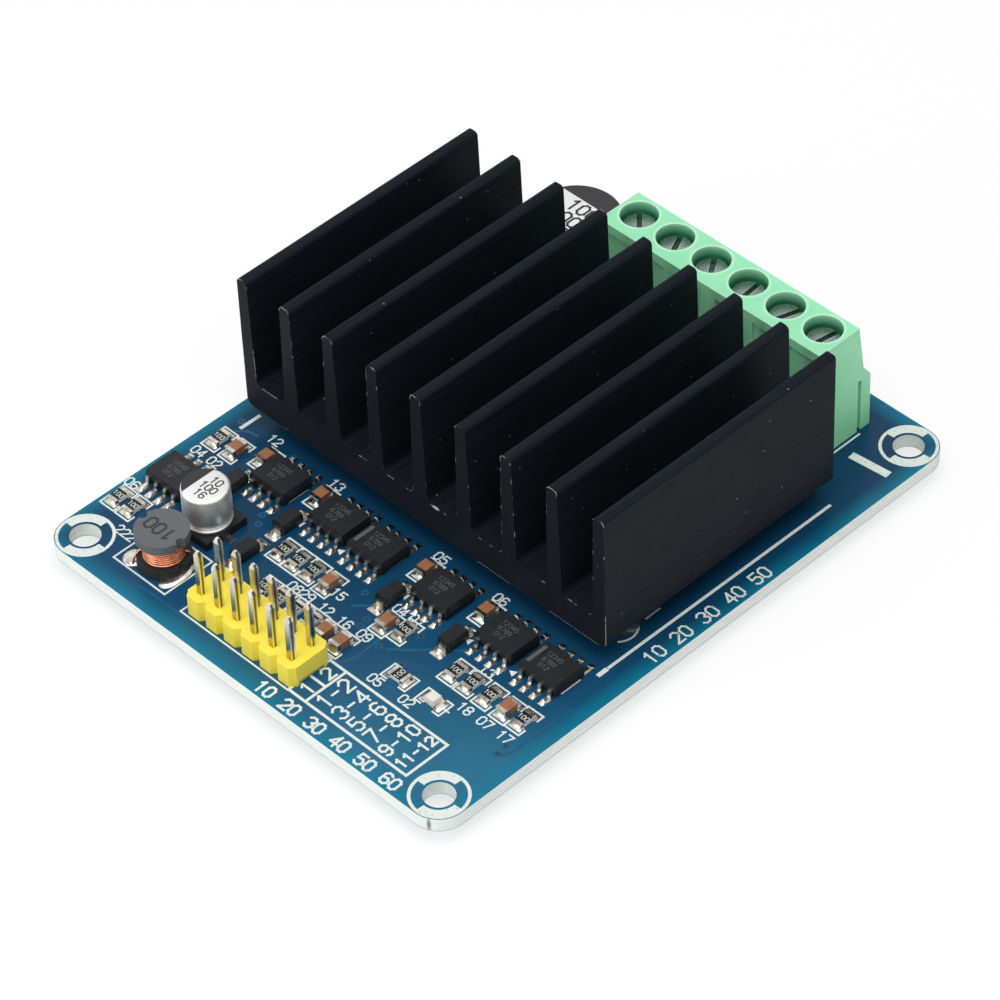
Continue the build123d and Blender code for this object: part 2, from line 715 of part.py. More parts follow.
def main():
    os.makedirs("parts", exist_ok=True)

    save("circuit_board", [circuit_board()])
    save("heatsink", [heatsink()])
    save("thermal_pad", [thermal_pad()])
    save("heatsink_screws", [heatsink_screw(x, y) for x, y in heatsink_screw_places()])

    save("terminal_housing", [terminal_housing()])
    for index, y in enumerate(pole_ys()):
        save(f"terminal_screw_{index + 1}", [terminal_screw(y, screw_slot_angles[index])])
        save(f"wire_clamp_{index + 1}", [wire_clamp(y)])
    save("terminal_pins", [terminal_pin(y) for y in pole_ys()])

    save("header_insulator", [header_insulator()])
    save("header_pins", [header_pin(x, y) for x, y in header_pin_places()])

    chips = [("boost_converter", boost_converter_place)]
    for index, place in enumerate(gate_driver_places):
        chips.append((f"gate_driver_{index + 1}", place))
    for index, place in enumerate(comparator_places):
        chips.append((f"comparator_{index + 1}", place))
    for name, place in chips:
        for x, y in from_edge([place]):
            save(f"{name}_body", [outline_chip_body(x, y)])
            save(f"{name}_leads", outline_chip_leads(x, y))

    tabs_and_leads = []
    for index, (x, y, way) in enumerate(transistor_places()):
        save(f"power_transistor_body_{index + 1}", [transistor_body(x, y, way)])
        tabs_and_leads.append(transistor_tab(x, y, way))
        for side in (-1, 1):
            tabs_and_leads.append(transistor_lead(x, y + side * transistor_lead_spread, way))
    save("power_transistor_metal", tabs_and_leads)

    save("diode_bodies", [diode_body(x, y) for x, y in from_edge(diode_places)])
    save("diode_tabs", [tab for x, y in from_edge(diode_places) for tab in diode_tabs(x, y)])

    resistors = []
    capacitors = []
    end_caps = []
    for x, y in from_edge(resistor_places_along_x):
        body, caps = chip_part(x, y, resistor_height, False)
        resistors.append(body)
        end_caps.extend(caps)
    for x, y in from_edge(resistor_places_along_y):
        body, caps = chip_part(x, y, resistor_height, True)
        resistors.append(body)
        end_caps.extend(caps)
    for x, y in from_edge(capacitor_places):
        body, caps = chip_part(x, y, capacitor_height, False)
        capacitors.append(body)
        end_caps.extend(caps)
    save("chip_resistors", resistors)
    save("chip_capacitors", capacitors)
    save("chip_end_caps", end_caps)
    for x, y in from_edge([lamp_place]):
        save("indicator_lamp", [lamp_body(x, y)])
        save("indicator_lamp_ends", lamp_ends(x, y))

    for x, y in from_edge([inductor_place]):
        save("inductor_core", [inductor_core(x, y)])
        save("inductor_winding", [inductor_winding(x, y)])

    for name, place, diameter, top, side, along_x in (
            ("small_capacitor", from_edge([small_can_place])[0], small_can_diameter, small_can_top,
             small_can_base_side, False),
            ("large_capacitor", large_can_place(), large_can_diameter, large_can_top,
             large_can_base_side, True)):
        save(f"{name}_can", [can_body(place, diameter, top, side)])
        save(f"{name}_foot", [can_base(place, side)])
        save(f"{name}_leads", can_leads(place, side, along_x))


main()
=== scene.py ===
import json
import math
import random
from functools import partial

import bmesh
import bpy
from mathutils import Matrix, Quaternion, Vector


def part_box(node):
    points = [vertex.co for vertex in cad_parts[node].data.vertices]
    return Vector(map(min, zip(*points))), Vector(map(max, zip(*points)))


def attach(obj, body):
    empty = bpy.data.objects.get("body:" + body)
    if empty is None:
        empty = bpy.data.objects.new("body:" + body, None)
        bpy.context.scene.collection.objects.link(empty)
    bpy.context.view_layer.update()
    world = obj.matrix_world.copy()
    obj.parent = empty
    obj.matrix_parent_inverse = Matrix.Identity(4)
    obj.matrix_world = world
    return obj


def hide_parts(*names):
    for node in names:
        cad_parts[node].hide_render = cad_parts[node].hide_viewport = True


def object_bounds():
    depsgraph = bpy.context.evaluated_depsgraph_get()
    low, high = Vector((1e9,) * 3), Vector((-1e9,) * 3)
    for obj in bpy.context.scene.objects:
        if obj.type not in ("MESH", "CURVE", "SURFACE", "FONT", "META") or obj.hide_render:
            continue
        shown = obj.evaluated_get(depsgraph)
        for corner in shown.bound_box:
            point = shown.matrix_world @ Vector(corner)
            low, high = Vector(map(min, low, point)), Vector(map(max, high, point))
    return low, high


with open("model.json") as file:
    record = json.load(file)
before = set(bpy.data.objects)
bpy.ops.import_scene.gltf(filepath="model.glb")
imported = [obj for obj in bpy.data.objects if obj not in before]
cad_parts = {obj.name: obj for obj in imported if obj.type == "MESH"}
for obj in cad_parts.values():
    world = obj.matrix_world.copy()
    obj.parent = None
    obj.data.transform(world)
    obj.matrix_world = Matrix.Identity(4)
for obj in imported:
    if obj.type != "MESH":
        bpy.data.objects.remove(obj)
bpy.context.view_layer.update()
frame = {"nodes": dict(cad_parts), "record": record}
nodes = frame["nodes"]
materials = {}
mm = 0.001
random.seed(11)

# Places in mm that the materials and the new pieces both follow.
poles = {"count": 6, "pitch": 5.0, "x": 27.9, "firstY": 7.7}  # of the terminal
pins = {"pitch": 2.54, "x": -31.38, "firstY": 8.72}  # of the header
fins = {"middle": 5.57, "front": -10.23}  # of the heatsink, along x


def hexToLinear(code):
    # The linear colour behind an sRGB hex code.
    shares = [int(code[i:i + 2], 16) / 255 for i in (1, 3, 5)]
    return [s / 12.92 if s <= 0.04045 else ((s + 0.055) / 1.055) ** 2.4 for s in shares] + [1.0]


def liveOutput(source):
    # The output that a node is used for: its first enabled one.
    return next(output for output in source.outputs if output.enabled)


def addNode(tree, kind, inputs=None, **settings):
    # One node with its settings and links. An input takes a number, a hex colour, an output, or a
    # node for its live output. Map Range leads sockets 1 to 2 over to 3 to 4, Mix goes from 6 to 7.
    node = tree.nodes.new("ShaderNode" + kind)
    if kind == "Mix":
        node.data_type = "RGBA"  # only colours are mixed here
    for key, value in settings.items():
        setattr(node, key, value)
    for key, value in (inputs or {}).items():
        if isinstance(value, bpy.types.Node):
            value = liveOutput(value)
        if isinstance(value, bpy.types.NodeSocket):
            tree.links.new(value, node.inputs[key])
        else:
            node.inputs[key].default_value = hexToLinear(value) if isinstance(value, str) else value
    return node


def newMaterial(name, colour, constants):
    # A material with its constants on the shader: what adds its nodes, the shader, the place in mm.
    material = bpy.data.materials.new(name)
    material.use_nodes = True
    materials[name] = material
    add = partial(addNode, material.node_tree)
    shader = material.node_tree.nodes["Principled BSDF"]
    shader.inputs["Base Color"].default_value = hexToLinear(colour)
    for key, value in constants.items():
        shader.inputs[key].default_value = value
    coords = add("TexCoord").outputs["Object"]
    place = add("VectorMath", {"Vector": coords, "Scale": 1 / mm}, operation="SCALE")
    return add, shader, place


def feedShader(shader, **sources):
    # Lead nodes into the shader, as its colour, roughness and relief.
    sockets = {"colour": "Base Color", "roughness": "Roughness", "relief": "Normal"}
    for key, source in sources.items():
        shader.id_data.links.new(liveOutput(source), shader.inputs[sockets[key]])


def facingUp(add):
    # 1 on faces that look up or down on the object, 0 on upright ones.
    normal = add("TexCoord").outputs["Normal"]
    upward = add("SeparateXYZ", {0: normal}).outputs["Z"]
    flatness = add("Math", {0: upward}, operation="ABSOLUTE")
    return add("MapRange", {0: flatness, 1: 0.6, 2: 0.8})


def edgesOf(add, width):
    # 1 along the edges, that many mm wide, and 0 on flat faces.
    rounded = add("Bevel", {"Radius": width * mm}, samples=4)
    flat = add("NewGeometry").outputs["Normal"]
    likeness = add("VectorMath", {0: rounded, 1: flat}, operation="DOT_PRODUCT")
    return add("MapRange", {0: likeness, 1: 0.985, 2: 0.9})


def spotAt(add, place, centre, inner, outer):
    # 1 within the inner distance in mm of a point, 0 beyond the outer one.
    away = add("VectorMath", {0: place, 1: centre}, operation="DISTANCE")
    return add("MapRange", {0: away, 1: outer, 2: inner})


# The materials. Grains, lines and clouds have their sizes in mm.

# Solder mask over glass epoxy: a glossy blue lacquer, with painted shade making it navy by the
# heatsink, a painted reflection making it clearer blue near the front corner, and teal painted
# where light comes in at the board's sides; pale cut fibre on those sides.
add, shader, place = newMaterial("solderMaskOnGlassEpoxy", "#14486a", {"Specular IOR Level": 0.14})
grain = {"clouds": 7, "yarn": 0.3, "waves": 0.9}  # tints, glass yarn, lacquer
lacquered = facingUp(add)
cornerward = add("VectorMath", {0: place, 1: (-0.75, -0.35, 0)}, operation="DOT_PRODUCT")
# The navy by the heatsink is its shade, painted into the lacquer; it lifts further out.
outOfHeatsinkShade = add("MapRange", {0: cornerward, 1: 8, 2: 20})  # about 10 to 24 mm from the middle
lacquer = add("Mix", {0: outOfHeatsinkShade, 6: "#0f3c5a", 7: "#15496a"})
# Clearer blue towards the front corner: a painted reflection of the white surroundings.
corner = add("MapRange", {0: cornerward, 1: 20, 2: 29})
lacquer = add("Mix", {0: corner, 6: lacquer, 7: "#256684"})
fromMiddle = add("VectorMath", {0: place}, operation="ABSOLUTE")
fromMiddle = add("SeparateXYZ", {0: fromMiddle}).outputs
sideX = add("MapRange", {0: fromMiddle["X"], 1: 33.4, 2: 35.4, 4: 0.85})  # the last 2 mm
sideY = add("MapRange", {0: fromMiddle["Y"], 1: 26.0, 2: 27.9, 4: 0.85})
litSide = add("Math", {0: sideX, 1: sideY}, operation="MAXIMUM")
lacquer = add("Mix", {0: litSide, 6: lacquer, 7: "#0f7793"})
clouds = add("TexNoise", {"Vector": place, "Scale": 1 / grain["clouds"]})
clouds = add("MapRange", {0: clouds, 1: 0.35, 2: 0.7, 4: 0.3})
lacquer = add("Mix", {0: clouds, 6: lacquer, 7: "#0c3352"})
alongBoard = add("VectorMath", {0: place, 1: (1 / 6, 1 / 6, 1)}, operation="MULTIPLY")
strands = add("TexNoise", {"Vector": alongBoard, "Scale": 1 / grain["yarn"], "Detail": 3})
fibre = add("Mix", {0: strands, 6: "#f1f4f1", 7: "#d3dcd6"})
height = add("SeparateXYZ", {0: place}).outputs["Z"]
underEdge = add("MapRange", {0: height, 1: 0.16, 2: 0.04})
cutEdge = add("Mix", {0: underEdge, 6: fibre, 7: "#a9b6b4"})
upDown = add("VectorMath", {0: place, 1: (1, 1, 0.25)}, operation="MULTIPLY")
brokenOff = spotAt(add, upDown, (-35.4, -26.45, 0.2), 0.26, 0.4)
cutEdge = add("Mix", {0: brokenOff, 6: cutEdge, 7: "#4d443b"})
orangePeel = add("TexNoise", {"Vector": place, "Scale": 1 / grain["waves"]})
feedShader(shader, colour=add("Mix", {0: lacquered, 6: cutEdge, 7: lacquer}),
           roughness=add("MapRange", {0: lacquered, 3: 0.75, 4: 0.24}),
           relief=add("Bump", {"Height": orangePeel, "Distance": 0.003 * mm}))

# Copper seen through the mask: the same lacquer, paler where it stands up, in 2 mm clouds.
add, shader, place = newMaterial("maskOverCopper", "#1a5676",
                                 {"Specular IOR Level": 0.2, "Roughness": 0.25})
clouds = add("TexNoise", {"Vector": place, "Scale": 1 / 2})
lacquer = add("Mix", {0: clouds, 6: "#154c6d", 7: "#1e5d80"})
feedShader(shader, colour=lacquer)

# Black anodised aluminium extrusion: deep blue-black, fine lines along the fins, painted highlights
# as bright rims at the fins' cut tips, dust, and metal showing where the lower front edge and the
# first fin were knocked.
add, shader, place = newMaterial("blackAnodisedAluminium", "#14181d", {"Specular IOR Level": 0.035})
grain = {"chips": 0.9, "dust": 2, "lines": 0.14, "handling": 2.5}  # the lines are the die's
knocks = [(-9.8, 4.2, 2.7, 0.3), (-20.6, 4.2, 3.6, 0.36), (-24.8, 6.6, 2.2, 0.3),
          (24.0, 10.0, 2.4, 0.24), (21.8, 7.0, 1.5, 0.24)]  # y, z, reach and force
axes = add("SeparateXYZ", {0: place}).outputs
fromMiddle = add("Math", {0: axes["X"], 1: fins["middle"]}, operation="SUBTRACT")
fromMiddle = add("Math", {0: fromMiddle}, operation="ABSOLUTE")
cutEnd = add("MapRange", {0: fromMiddle, 1: 15.55, 2: 15.7})
# A highlight painted on the fins' tips, and the knocked spots' bare metal, both at the cut ends.
tipHighlightAndKnocks = add("MapRange", {0: axes["Z"], 1: 19.9, 2: 20.3, 4: 0.14})  # the fins' tips
for y, z, reach, force in knocks:
    knock = spotAt(add, place, (fins["front"], y, z), reach * 0.8, reach)
    knock = add("Math", {0: knock, 1: force}, operation="MULTIPLY")
    tipHighlightAndKnocks = add("Math", {0: tipHighlightAndKnocks, 1: knock}, operation="MAXIMUM")
tipHighlightAndKnocks = add("Math", {0: tipHighlightAndKnocks, 1: cutEnd}, operation="MULTIPLY")
chips = add("TexNoise", {"Vector": place, "Scale": 1 / grain["chips"], "Detail": 4})
rubbedAndTipHighlight = add("Math", {0: chips, 1: tipHighlightAndKnocks}, operation="ADD")
rubbedAndTipHighlight = add("MapRange", {0: rubbedAndTipHighlight, 1: 0.6, 2: 0.7})
rubbedAndTipHighlight = add("Math", {0: edgesOf(add, 0.13), 1: rubbedAndTipHighlight}, operation="MULTIPLY")
drawnOut = add("VectorMath", {0: place, 1: (1, 0.3, 1)}, operation="MULTIPLY")
scratch = spotAt(add, drawnOut, (fins["front"], -0.55, 7.55), 0.1, 0.18)
rubbedAndTipHighlight = add("Math", {0: rubbedAndTipHighlight, 1: scratch}, operation="MAXIMUM")
specks = add("TexVoronoi", {"Vector": place, "Scale": 1 / grain["dust"]})
specks = add("MapRange", {0: specks, 1: 0.045, 2: 0.03, 4: 0.5})
wornDustAndTipHighlight = add("Math", {0: rubbedAndTipHighlight, 1: specks}, operation="MAXIMUM")
alongFins = add("VectorMath", {0: place, 1: (1 / 90, 1, 1)}, operation="MULTIPLY")
lines = add("TexNoise", {"Vector": alongFins, "Scale": 1 / grain["lines"]})
dyeing = add("MapRange", {0: lines, 1: 0.3, 2: 0.75})
dyed = add("Mix", {0: dyeing, 6: "#12161b", 7: "#1e2329"})
handling = add("TexNoise", {"Vector": place, "Scale": 1 / grain["handling"]})
feedShader(shader, colour=add("Mix", {0: wornDustAndTipHighlight, 6: dyed, 7: "#b9b5ab"}),
           roughness=add("MapRange", {0: handling, 1: 0.3, 2: 0.7, 3: 0.34, 4: 0.42}),
           relief=add("Bump", {"Height": lines, "Distance": 0.008 * mm}))

# Silicone rubber sheet under the heatsink: soft grey without any gloss.
add, shader, place = newMaterial("siliconeRubber", "#8f9295", {"Roughness": 0.85})
skin = add("TexNoise", {"Vector": place, "Scale": 1 / 0.2})
feedShader(shader, relief=add("Bump", {"Height": skin, "Distance": 0.01 * mm}))

# Zinc-plated steel of screws and clamps: cool bluish silver with a painted green reflection,
# dragged tool marks, and painted highlights on the edges.
add, shader, place = newMaterial("zincPlatedSteel", "#8d9a99", {"Metallic": 1.0})
grain = {"marks": 0.12, "bloom": 1.1}  # tool marks, and darker and paler spots
downShank = add("VectorMath", {0: place, 1: (1, 1, 1 / 14)}, operation="MULTIPLY")
drag = add("TexNoise", {"Vector": downShank, "Scale": 1 / grain["marks"], "Detail": 3})
bloom = add("TexNoise", {"Vector": place, "Scale": 1 / grain["bloom"], "Detail": 3})
# The plating's cool tone, tinted green by a painted reflection of the terminal.
platedAndGreenReflection = add("Mix", {0: bloom, 6: "#71827f", 7: "#a6b3b0"})
# Bright edges: a painted highlight.
edges = edgesOf(add, 0.13)
feedShader(shader, colour=add("Mix", {0: edges, 6: platedAndGreenReflection, 7: "#eceeee"}),
           roughness=add("MapRange", {0: drag, 1: 0.3, 2: 0.7, 3: 0.24, 4: 0.38}),
           relief=add("Bump", {"Height": drag, "Distance": 0.004 * mm}))

# Moulded green polyamide of the terminal: milky and satin, with painted highlights on its thin rims
# and round the wells' mouths, and painted shade deeper in its wells.
add, shader, place = newMaterial("greenPolyamide", "#92dfb0", {
    "Roughness": 0.4, "Subsurface Weight": 0.15, "Subsurface Scale": 0.0008})
grain = {"flow": 2.4, "sparks": 0.22}  # the melt's flow, the mould's spark texture
axes = add("SeparateXYZ", {0: place}).outputs
fromAxis = add("Math", {0: axes["X"], 1: poles["x"]}, operation="SUBTRACT")
fromPole = add("Math", {0: axes["Y"], 1: poles["firstY"]}, operation="SUBTRACT")
half = poles["pitch"] / 2
fromPole = add("Math", {0: fromPole, 1: half, 2: -half}, operation="WRAP")
radius = add("CombineXYZ", {0: fromAxis, 1: fromPole})
radius = add("VectorMath", {0: radius}, operation="LENGTH")
# Painted shade down the wells' walls, darkest deepest in.
shadedWellWall = add("MapRange", {0: radius, 1: 2.2, 2: 2.1})
wallOnly = add("MapRange", {0: facingUp(add), 3: 1, 4: 0})
shadedWellWall = add("Math", {0: shadedWellWall, 1: wallOnly}, operation="MULTIPLY")
depth = add("MapRange", {0: axes["Z"], 1: 15.1, 2: 14.2, 3: 0.3, 4: 1})
depth = add("Math", {0: shadedWellWall, 1: depth}, operation="MULTIPLY")
flow = add("TexNoise", {"Vector": place, "Scale": 1 / grain["flow"], "Detail": 3})
flow = add("MapRange", {0: flow, 1: 0.35, 2: 0.65})
milky = add("Mix", {0: flow, 6: "#8eddad", 7: "#96e1b3"})
milky = add("Mix", {0: depth, 6: milky, 7: "#2f7a59"})
# A painted highlight ringing each well's mouth.
rimHighlight = add("MapRange", {0: radius, 1: 2.32, 2: 2.2})
onTop = add("MapRange", {0: axes["Z"], 1: 15.0, 2: 15.3, 4: 0.7})
rimHighlight = add("Math", {0: rimHighlight, 1: onTop}, operation="MULTIPLY")
milky = add("Mix", {0: rimHighlight, 6: milky, 7: "#b8ebc9"})
# Paler edges: a painted highlight.
edgeHighlight = add("Math", {0: edgesOf(add, 0.2), 1: 0.8}, operation="MULTIPLY")
sparks = add("TexNoise", {"Vector": place, "Scale": 1 / grain["sparks"]})
feedShader(shader, colour=add("Mix", {0: edgeHighlight, 6: milky, 7: "#c8efd2"}),
           relief=add("Bump", {"Height": sparks, "Distance": 0.005 * mm}))

# Tin plating and solder: bright, slightly creamy, smooth where the solder flowed.
add, shader, place = newMaterial("tinPlatedCopper", "#dcd8cd", {"Metallic": 1.0})
pools = add("TexNoise", {"Vector": place, "Scale": 1 / 0.8})  # 0.8 mm pools
dulled = add("MapRange", {0: pools, 1: 0.35, 2: 0.65})
feedShader(shader, colour=add("Mix", {0: dulled, 6: "#b0aa9e", 7: "#e4e0d7"}),
           roughness=add("MapRange", {0: pools, 1: 0.3, 2: 0.7, 3: 0.14, 4: 0.26}),
           relief=add("Bump", {"Height": pools, "Distance": 0.012 * mm}))

# Tin-plated brass of the header's pins: bright, with a dark streak down the middle of two faces
# and a gold tone on the lower part of the other two, fading upward.
add, shader, place = newMaterial("tinPlatedBrass", "#d9d5c8", {"Metallic": 1.0, "Roughness": 0.22})
axes = add("SeparateXYZ", {0: place}).outputs
facing = add("TexCoord").outputs["Normal"]
facing = add("SeparateXYZ", {0: facing}).outputs["Y"]
sideways = add("Math", {0: facing}, operation="ABSOLUTE")
across = add("Math", {0: axes["X"], 1: pins["x"]}, operation="SUBTRACT")
half = pins["pitch"] / 2
across = add("Math", {0: across, 1: half, 2: -half}, operation="WRAP")
across = add("Math", {0: across}, operation="ABSOLUTE")
streak = add("MapRange", {0: across, 1: 0.17, 2: 0.1, 4: 0.85})
onTwo = add("Math", {0: sideways, 1: 0.7}, operation="GREATER_THAN")
streak = add("Math", {0: streak, 1: onTwo}, operation="MULTIPLY")
warmth = add("MapRange", {0: axes["Z"], 1: 8.6, 2: 4.4, 3: 0.1, 4: 0.9})  # more lower down
onOthers = add("Math", {0: sideways, 1: 0.3}, operation="LESS_THAN")
warmth = add("Math", {0: warmth, 1: onOthers}, operation="MULTIPLY")
alongPin = add("VectorMath", {0: place, 1: (1, 1, 0.1)}, operation="MULTIPLY")
sheen = add("TexNoise", {"Vector": alongPin, "Scale": 1 / 0.4})
sheen = add("MapRange", {0: sheen, 1: 0.4, 2: 0.6})
tinned = add("Mix", {0: sheen, 6: "#dcd8cc", 7: "#f6f3ec"})
tinned = add("Mix", {0: warmth, 6: tinned, 7: "#b89a55"})
tinned = add("Mix", {0: streak, 6: tinned, 7: "#45433f"})
feedShader(shader, colour=tinned)

# Materials of one mottled colour and a fine relief: their two colours, the mottle's grain in mm,
# its detail and range where they aren't the usual ones, and the relief's grain and depth in mm.
usual = {"detail": 2, "range": (0.3, 0.7)}
mottled = {
    # Moulded yellow polyamide of the pin header: strong clear yellow, satin.
    "yellowPolyamide": {
        "shader": {"Roughness": 0.45, "Subsurface Weight": 0.1, "Subsurface Scale": 0.0006},
        "colours": ("#eed838", "#f9e857"), "grain": 1.2, "range": (0, 1),
        "relief": (0.2, 0.004)},
    # Moulded epoxy of chips and diodes: charcoal with the fine sparkle of its glass filler.
    "mouldedEpoxy": {
        "shader": {"Roughness": 0.5, "Specular IOR Level": 0.25},
        "colours": ("#16181a", "#26282b"), "grain": 0.09, "range": (0.4, 0.75),
        "relief": (0.07, 0.006)},
    # Chip capacitor: brown sintered barium titanate, satin and a little mottled.
    "sinteredTitanate": {
        "shader": {"Roughness": 0.42, "Specular IOR Level": 0.35},
        "colours": ("#7b5238", "#a87450"), "grain": 0.35, "detail": 3, "range": (0, 1),
        "relief": (0.1, 0.004)},
    # Clear-to-milky epoxy resin of the lamp's lens: pale, wet-looking, lit through.
    "castResin": {
        "shader": {"Roughness": 0.18, "Subsurface Weight": 0.4, "Subsurface Scale": 0.0005},
        "colours": ("#d6d3c8", "#e6e4db"), "grain": 0.5, "relief": (0.3, 0.006)},
    # Enamelled copper wire: reddish metal under a clear lacquer.
    "enamelledCopper": {
        "shader": {"Metallic": 1.0, "Roughness": 0.26, "Coat Weight": 0.5, "Coat Roughness": 0.08},
        "colours": ("#c46c46", "#efa27a"), "grain": 0.5, "range": (0, 1),
        "relief": (0.15, 0.001)},
    # Moulded phenolic of the capacitors' feet: black and matte.
    "mouldedPhenolic": {
        "shader": {"Roughness": 0.5, "Specular IOR Level": 0.3},
        "colours": ("#131416", "#1b1c1e"), "grain": 0.6, "relief": (0.15, 0.006)},
    # Epoxy ink of the board's white print: chalky, a little thin in places.
    "whiteEpoxyInk": {
        "shader": {"Roughness": 0.65},
        "colours": ("#d6ddd7", "#a8bdc2"), "grain": 0.25, "detail": 3, "range": (0.55, 0.75),
        "relief": (0.15, 0.002)},
    # Paint of the number on the inductor, and ink of the print on the cans: dark, a little uneven.
    "darkPaint": {
        "shader": {"Roughness": 0.5},
        "colours": ("#131517", "#1d1f22"), "grain": 0.4, "relief": (0.2, 0.002)},
    "blackCanInk": {
        "shader": {"Roughness": 0.45},
        "colours": ("#101114", "#19191d"), "grain": 0.5, "relief": (0.2, 0.001)},
    # The faint grey that a laser leaves on epoxy, thinner here and there.
    "laserBurntEpoxy": {
        "shader": {"Roughness": 0.6},
        "colours": ("#565a5c", "#45484a"), "grain": 0.2, "detail": 3, "range": (0.35, 0.65),
        "relief": (0.1, 0.002)},
    # The dark inside of a plated hole that the mask plugs.
    "pluggedHoleResin": {
        "shader": {"Roughness": 0.7},
        "colours": ("#061018", "#0a1a26"), "grain": 0.3, "relief": (0.2, 0.004)},
}
for name, settings in mottled.items():
    add, shader, place = newMaterial(name, settings["colours"][0], settings["shader"])
    settings = {**usual, **settings}
    mottle = add("TexNoise", {"Vector": place, "Scale": 1 / settings["grain"],
                              "Detail": settings["detail"]})
    low, high = settings["range"]
    mottle = add("MapRange", {0: mottle, 1: low, 2: high})
    first, second = settings["colours"]
    skinGrain, depth = settings["relief"]
    skin = add("TexNoise", {"Vector": place, "Scale": 1 / skinGrain})
    feedShader(shader, colour=add("Mix", {0: mottle, 6: first, 7: second}),
               relief=add("Bump", {"Height": skin, "Distance": depth * mm}))

# Chip resistor: white sintered alumina with black glass glaze over its top.
add, shader, place = newMaterial("glazedAlumina", "#e6e4dc", {"Specular IOR Level": 0.35})
topward = facingUp(add)
skin = add("TexNoise", {"Vector": place, "Scale": 1 / 0.12})
feedShader(shader, colour=add("Mix", {0: topward, 6: "#e4e2da", 7: "#131416"}),
           roughness=add("MapRange", {0: topward, 3: 0.6, 4: 0.25}),
           relief=add("Bump", {"Height": skin, "Distance": 0.003 * mm}))

# Sintered ferrite of the inductor: grey and dry on top, darker below, finely pitted.
add, shader, place = newMaterial("sinteredFerrite", "#3d4145",
                                 {"Roughness": 0.55, "Specular IOR Level": 0.3})
level = add("SeparateXYZ", {0: place}).outputs["Z"]
level = add("MapRange", {0: level, 1: 3.6, 2: 4.4})
ground = add("Mix", {0: level, 6: "#1c1e20", 7: "#626567"})
grains = add("TexNoise", {"Vector": place, "Scale": 1 / 0.16, "Detail": 3})  # of 0.16 mm
grains = add("MapRange", {0: grains, 1: 0.3, 2: 0.7, 4: 0.35})
pits = add("TexNoise", {"Vector": place, "Scale": 1 / 0.11})
feedShader(shader, colour=add("Mix", {0: grains, 6: ground, 7: "#33373a"}),
           relief=add("Bump", {"Height": pits, "Distance": 0.01 * mm}))

# Drawn aluminium of the capacitor cans: pale satin metal, faintly streaked along the draw.
add, shader, place = newMaterial("drawnAluminium", "#d3d4d3", {"Metallic": 1.0})
upCan = add("VectorMath", {0: place, 1: (1, 1, 1 / 30)}, operation="MULTIPLY")
drawn = add("TexNoise", {"Vector": upCan, "Scale": 1 / 0.1, "Detail": 3})  # of 0.1 mm
feedShader(shader, colour=add("Mix", {0: drawn, 6: "#d6d8d6", 7: "#e8e8e6"}),
           roughness=add("MapRange", {0: drawn, 1: 0.3, 2: 0.7, 3: 0.46, 4: 0.56}),
           relief=add("Bump", {"Height": drawn, "Distance": 0.002 * mm}))
print("materials made")

slotMaterials = {
    "blue_board": "solderMaskOnGlassEpoxy",
    "black_aluminium": "blackAnodisedAluminium",
    "grey_silicone": "siliconeRubber",
    "zinc_steel": "zincPlatedSteel",
    "green_polyamide": "greenPolyamide",
    "tinned_metal": "tinPlatedCopper",
    "yellow_polyamide": "yellowPolyamide",
    "black_epoxy": "mouldedEpoxy",
    "white_alumina": "glazedAlumina",
    "brown_ceramic": "sinteredTitanate",
    "pale_lens": "castResin",
    "grey_ferrite": "sinteredFerrite",
    "enamelled_copper": "enamelledCopper",
    "can_aluminium": "drawnAluminium",
    "black_foot_plastic": "mouldedPhenolic",
}
for part in frame["record"]["subparts"]:
    name = part["node"]
    chosen = "tinPlatedBrass" if name == "header_pins" else slotMaterials[part["material_slot"]]
    nodes[name].data.materials.clear()
    nodes[name].data.materials.append(materials[chosen])
print("frame painted")


def boxOf(node):
    # A node's lowest and highest corner in mm.
    low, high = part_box(node)
    return low / mm, high / mm


def newObject(name, data):
    thing = bpy.data.objects.new(name, data)
    bpy.context.scene.collection.objects.link(thing)
    return thing


def middleOf(box):
    return (box[0] + box[1]) / 2


def solidBoxes(node):
    # The lowest and highest corners, in mm, of the separate solids in one node.
    work = bmesh.new()
    work.from_mesh(nodes[node].data)
    bmesh.ops.remove_doubles(work, verts=work.verts, dist=0.0001 * mm)
    boxes, waiting = [], set(work.verts)
    while waiting:
        reached = [waiting.pop()]
        for vert in reached:
            near = {edge.other_vert(vert) for edge in vert.link_edges} & waiting
            waiting -= near
            reached.extend(near)
        columns = list(zip(*[vert.co / mm for vert in reached]))
        boxes.append((Vector([min(c) for c in columns]), Vector([max(c) for c in columns])))
    work.free()
    return sorted(boxes, key=lambda box: tuple(box[0]))


def newPiece(name, mesh, body, materialName, smoothBelow=0):
    # The finished piece, faces turned outward, smooth over edges flatter than smoothBelow degrees.
    bmesh.ops.recalc_face_normals(mesh, faces=mesh.faces)
    for face in mesh.faces:
        face.smooth = smoothBelow > 0
    for edge in mesh.edges:
        if len(edge.link_faces) == 2:
            edge.smooth = edge.calc_face_angle() < math.radians(smoothBelow)
    data = bpy.data.meshes.new(name)
    mesh.to_mesh(data)
    mesh.free()
    data.materials.append(materials[materialName])
    piece = newObject(name, data)
    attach(piece, body)
    return piece


def pointsOf(geometry):
    return [item for item in geometry if isinstance(item, bmesh.types.BMVert)]


flats = {"hair": 0.004, "arcStep": 12}  # mm of unevenness, degrees between an arc's points


def newFlats():
    # A mesh for thin prints and tracks. Each outline stands up a hair more or less than the next.
    mesh = bmesh.new()
    mesh.verts.layers.float.new("hair")
    return mesh


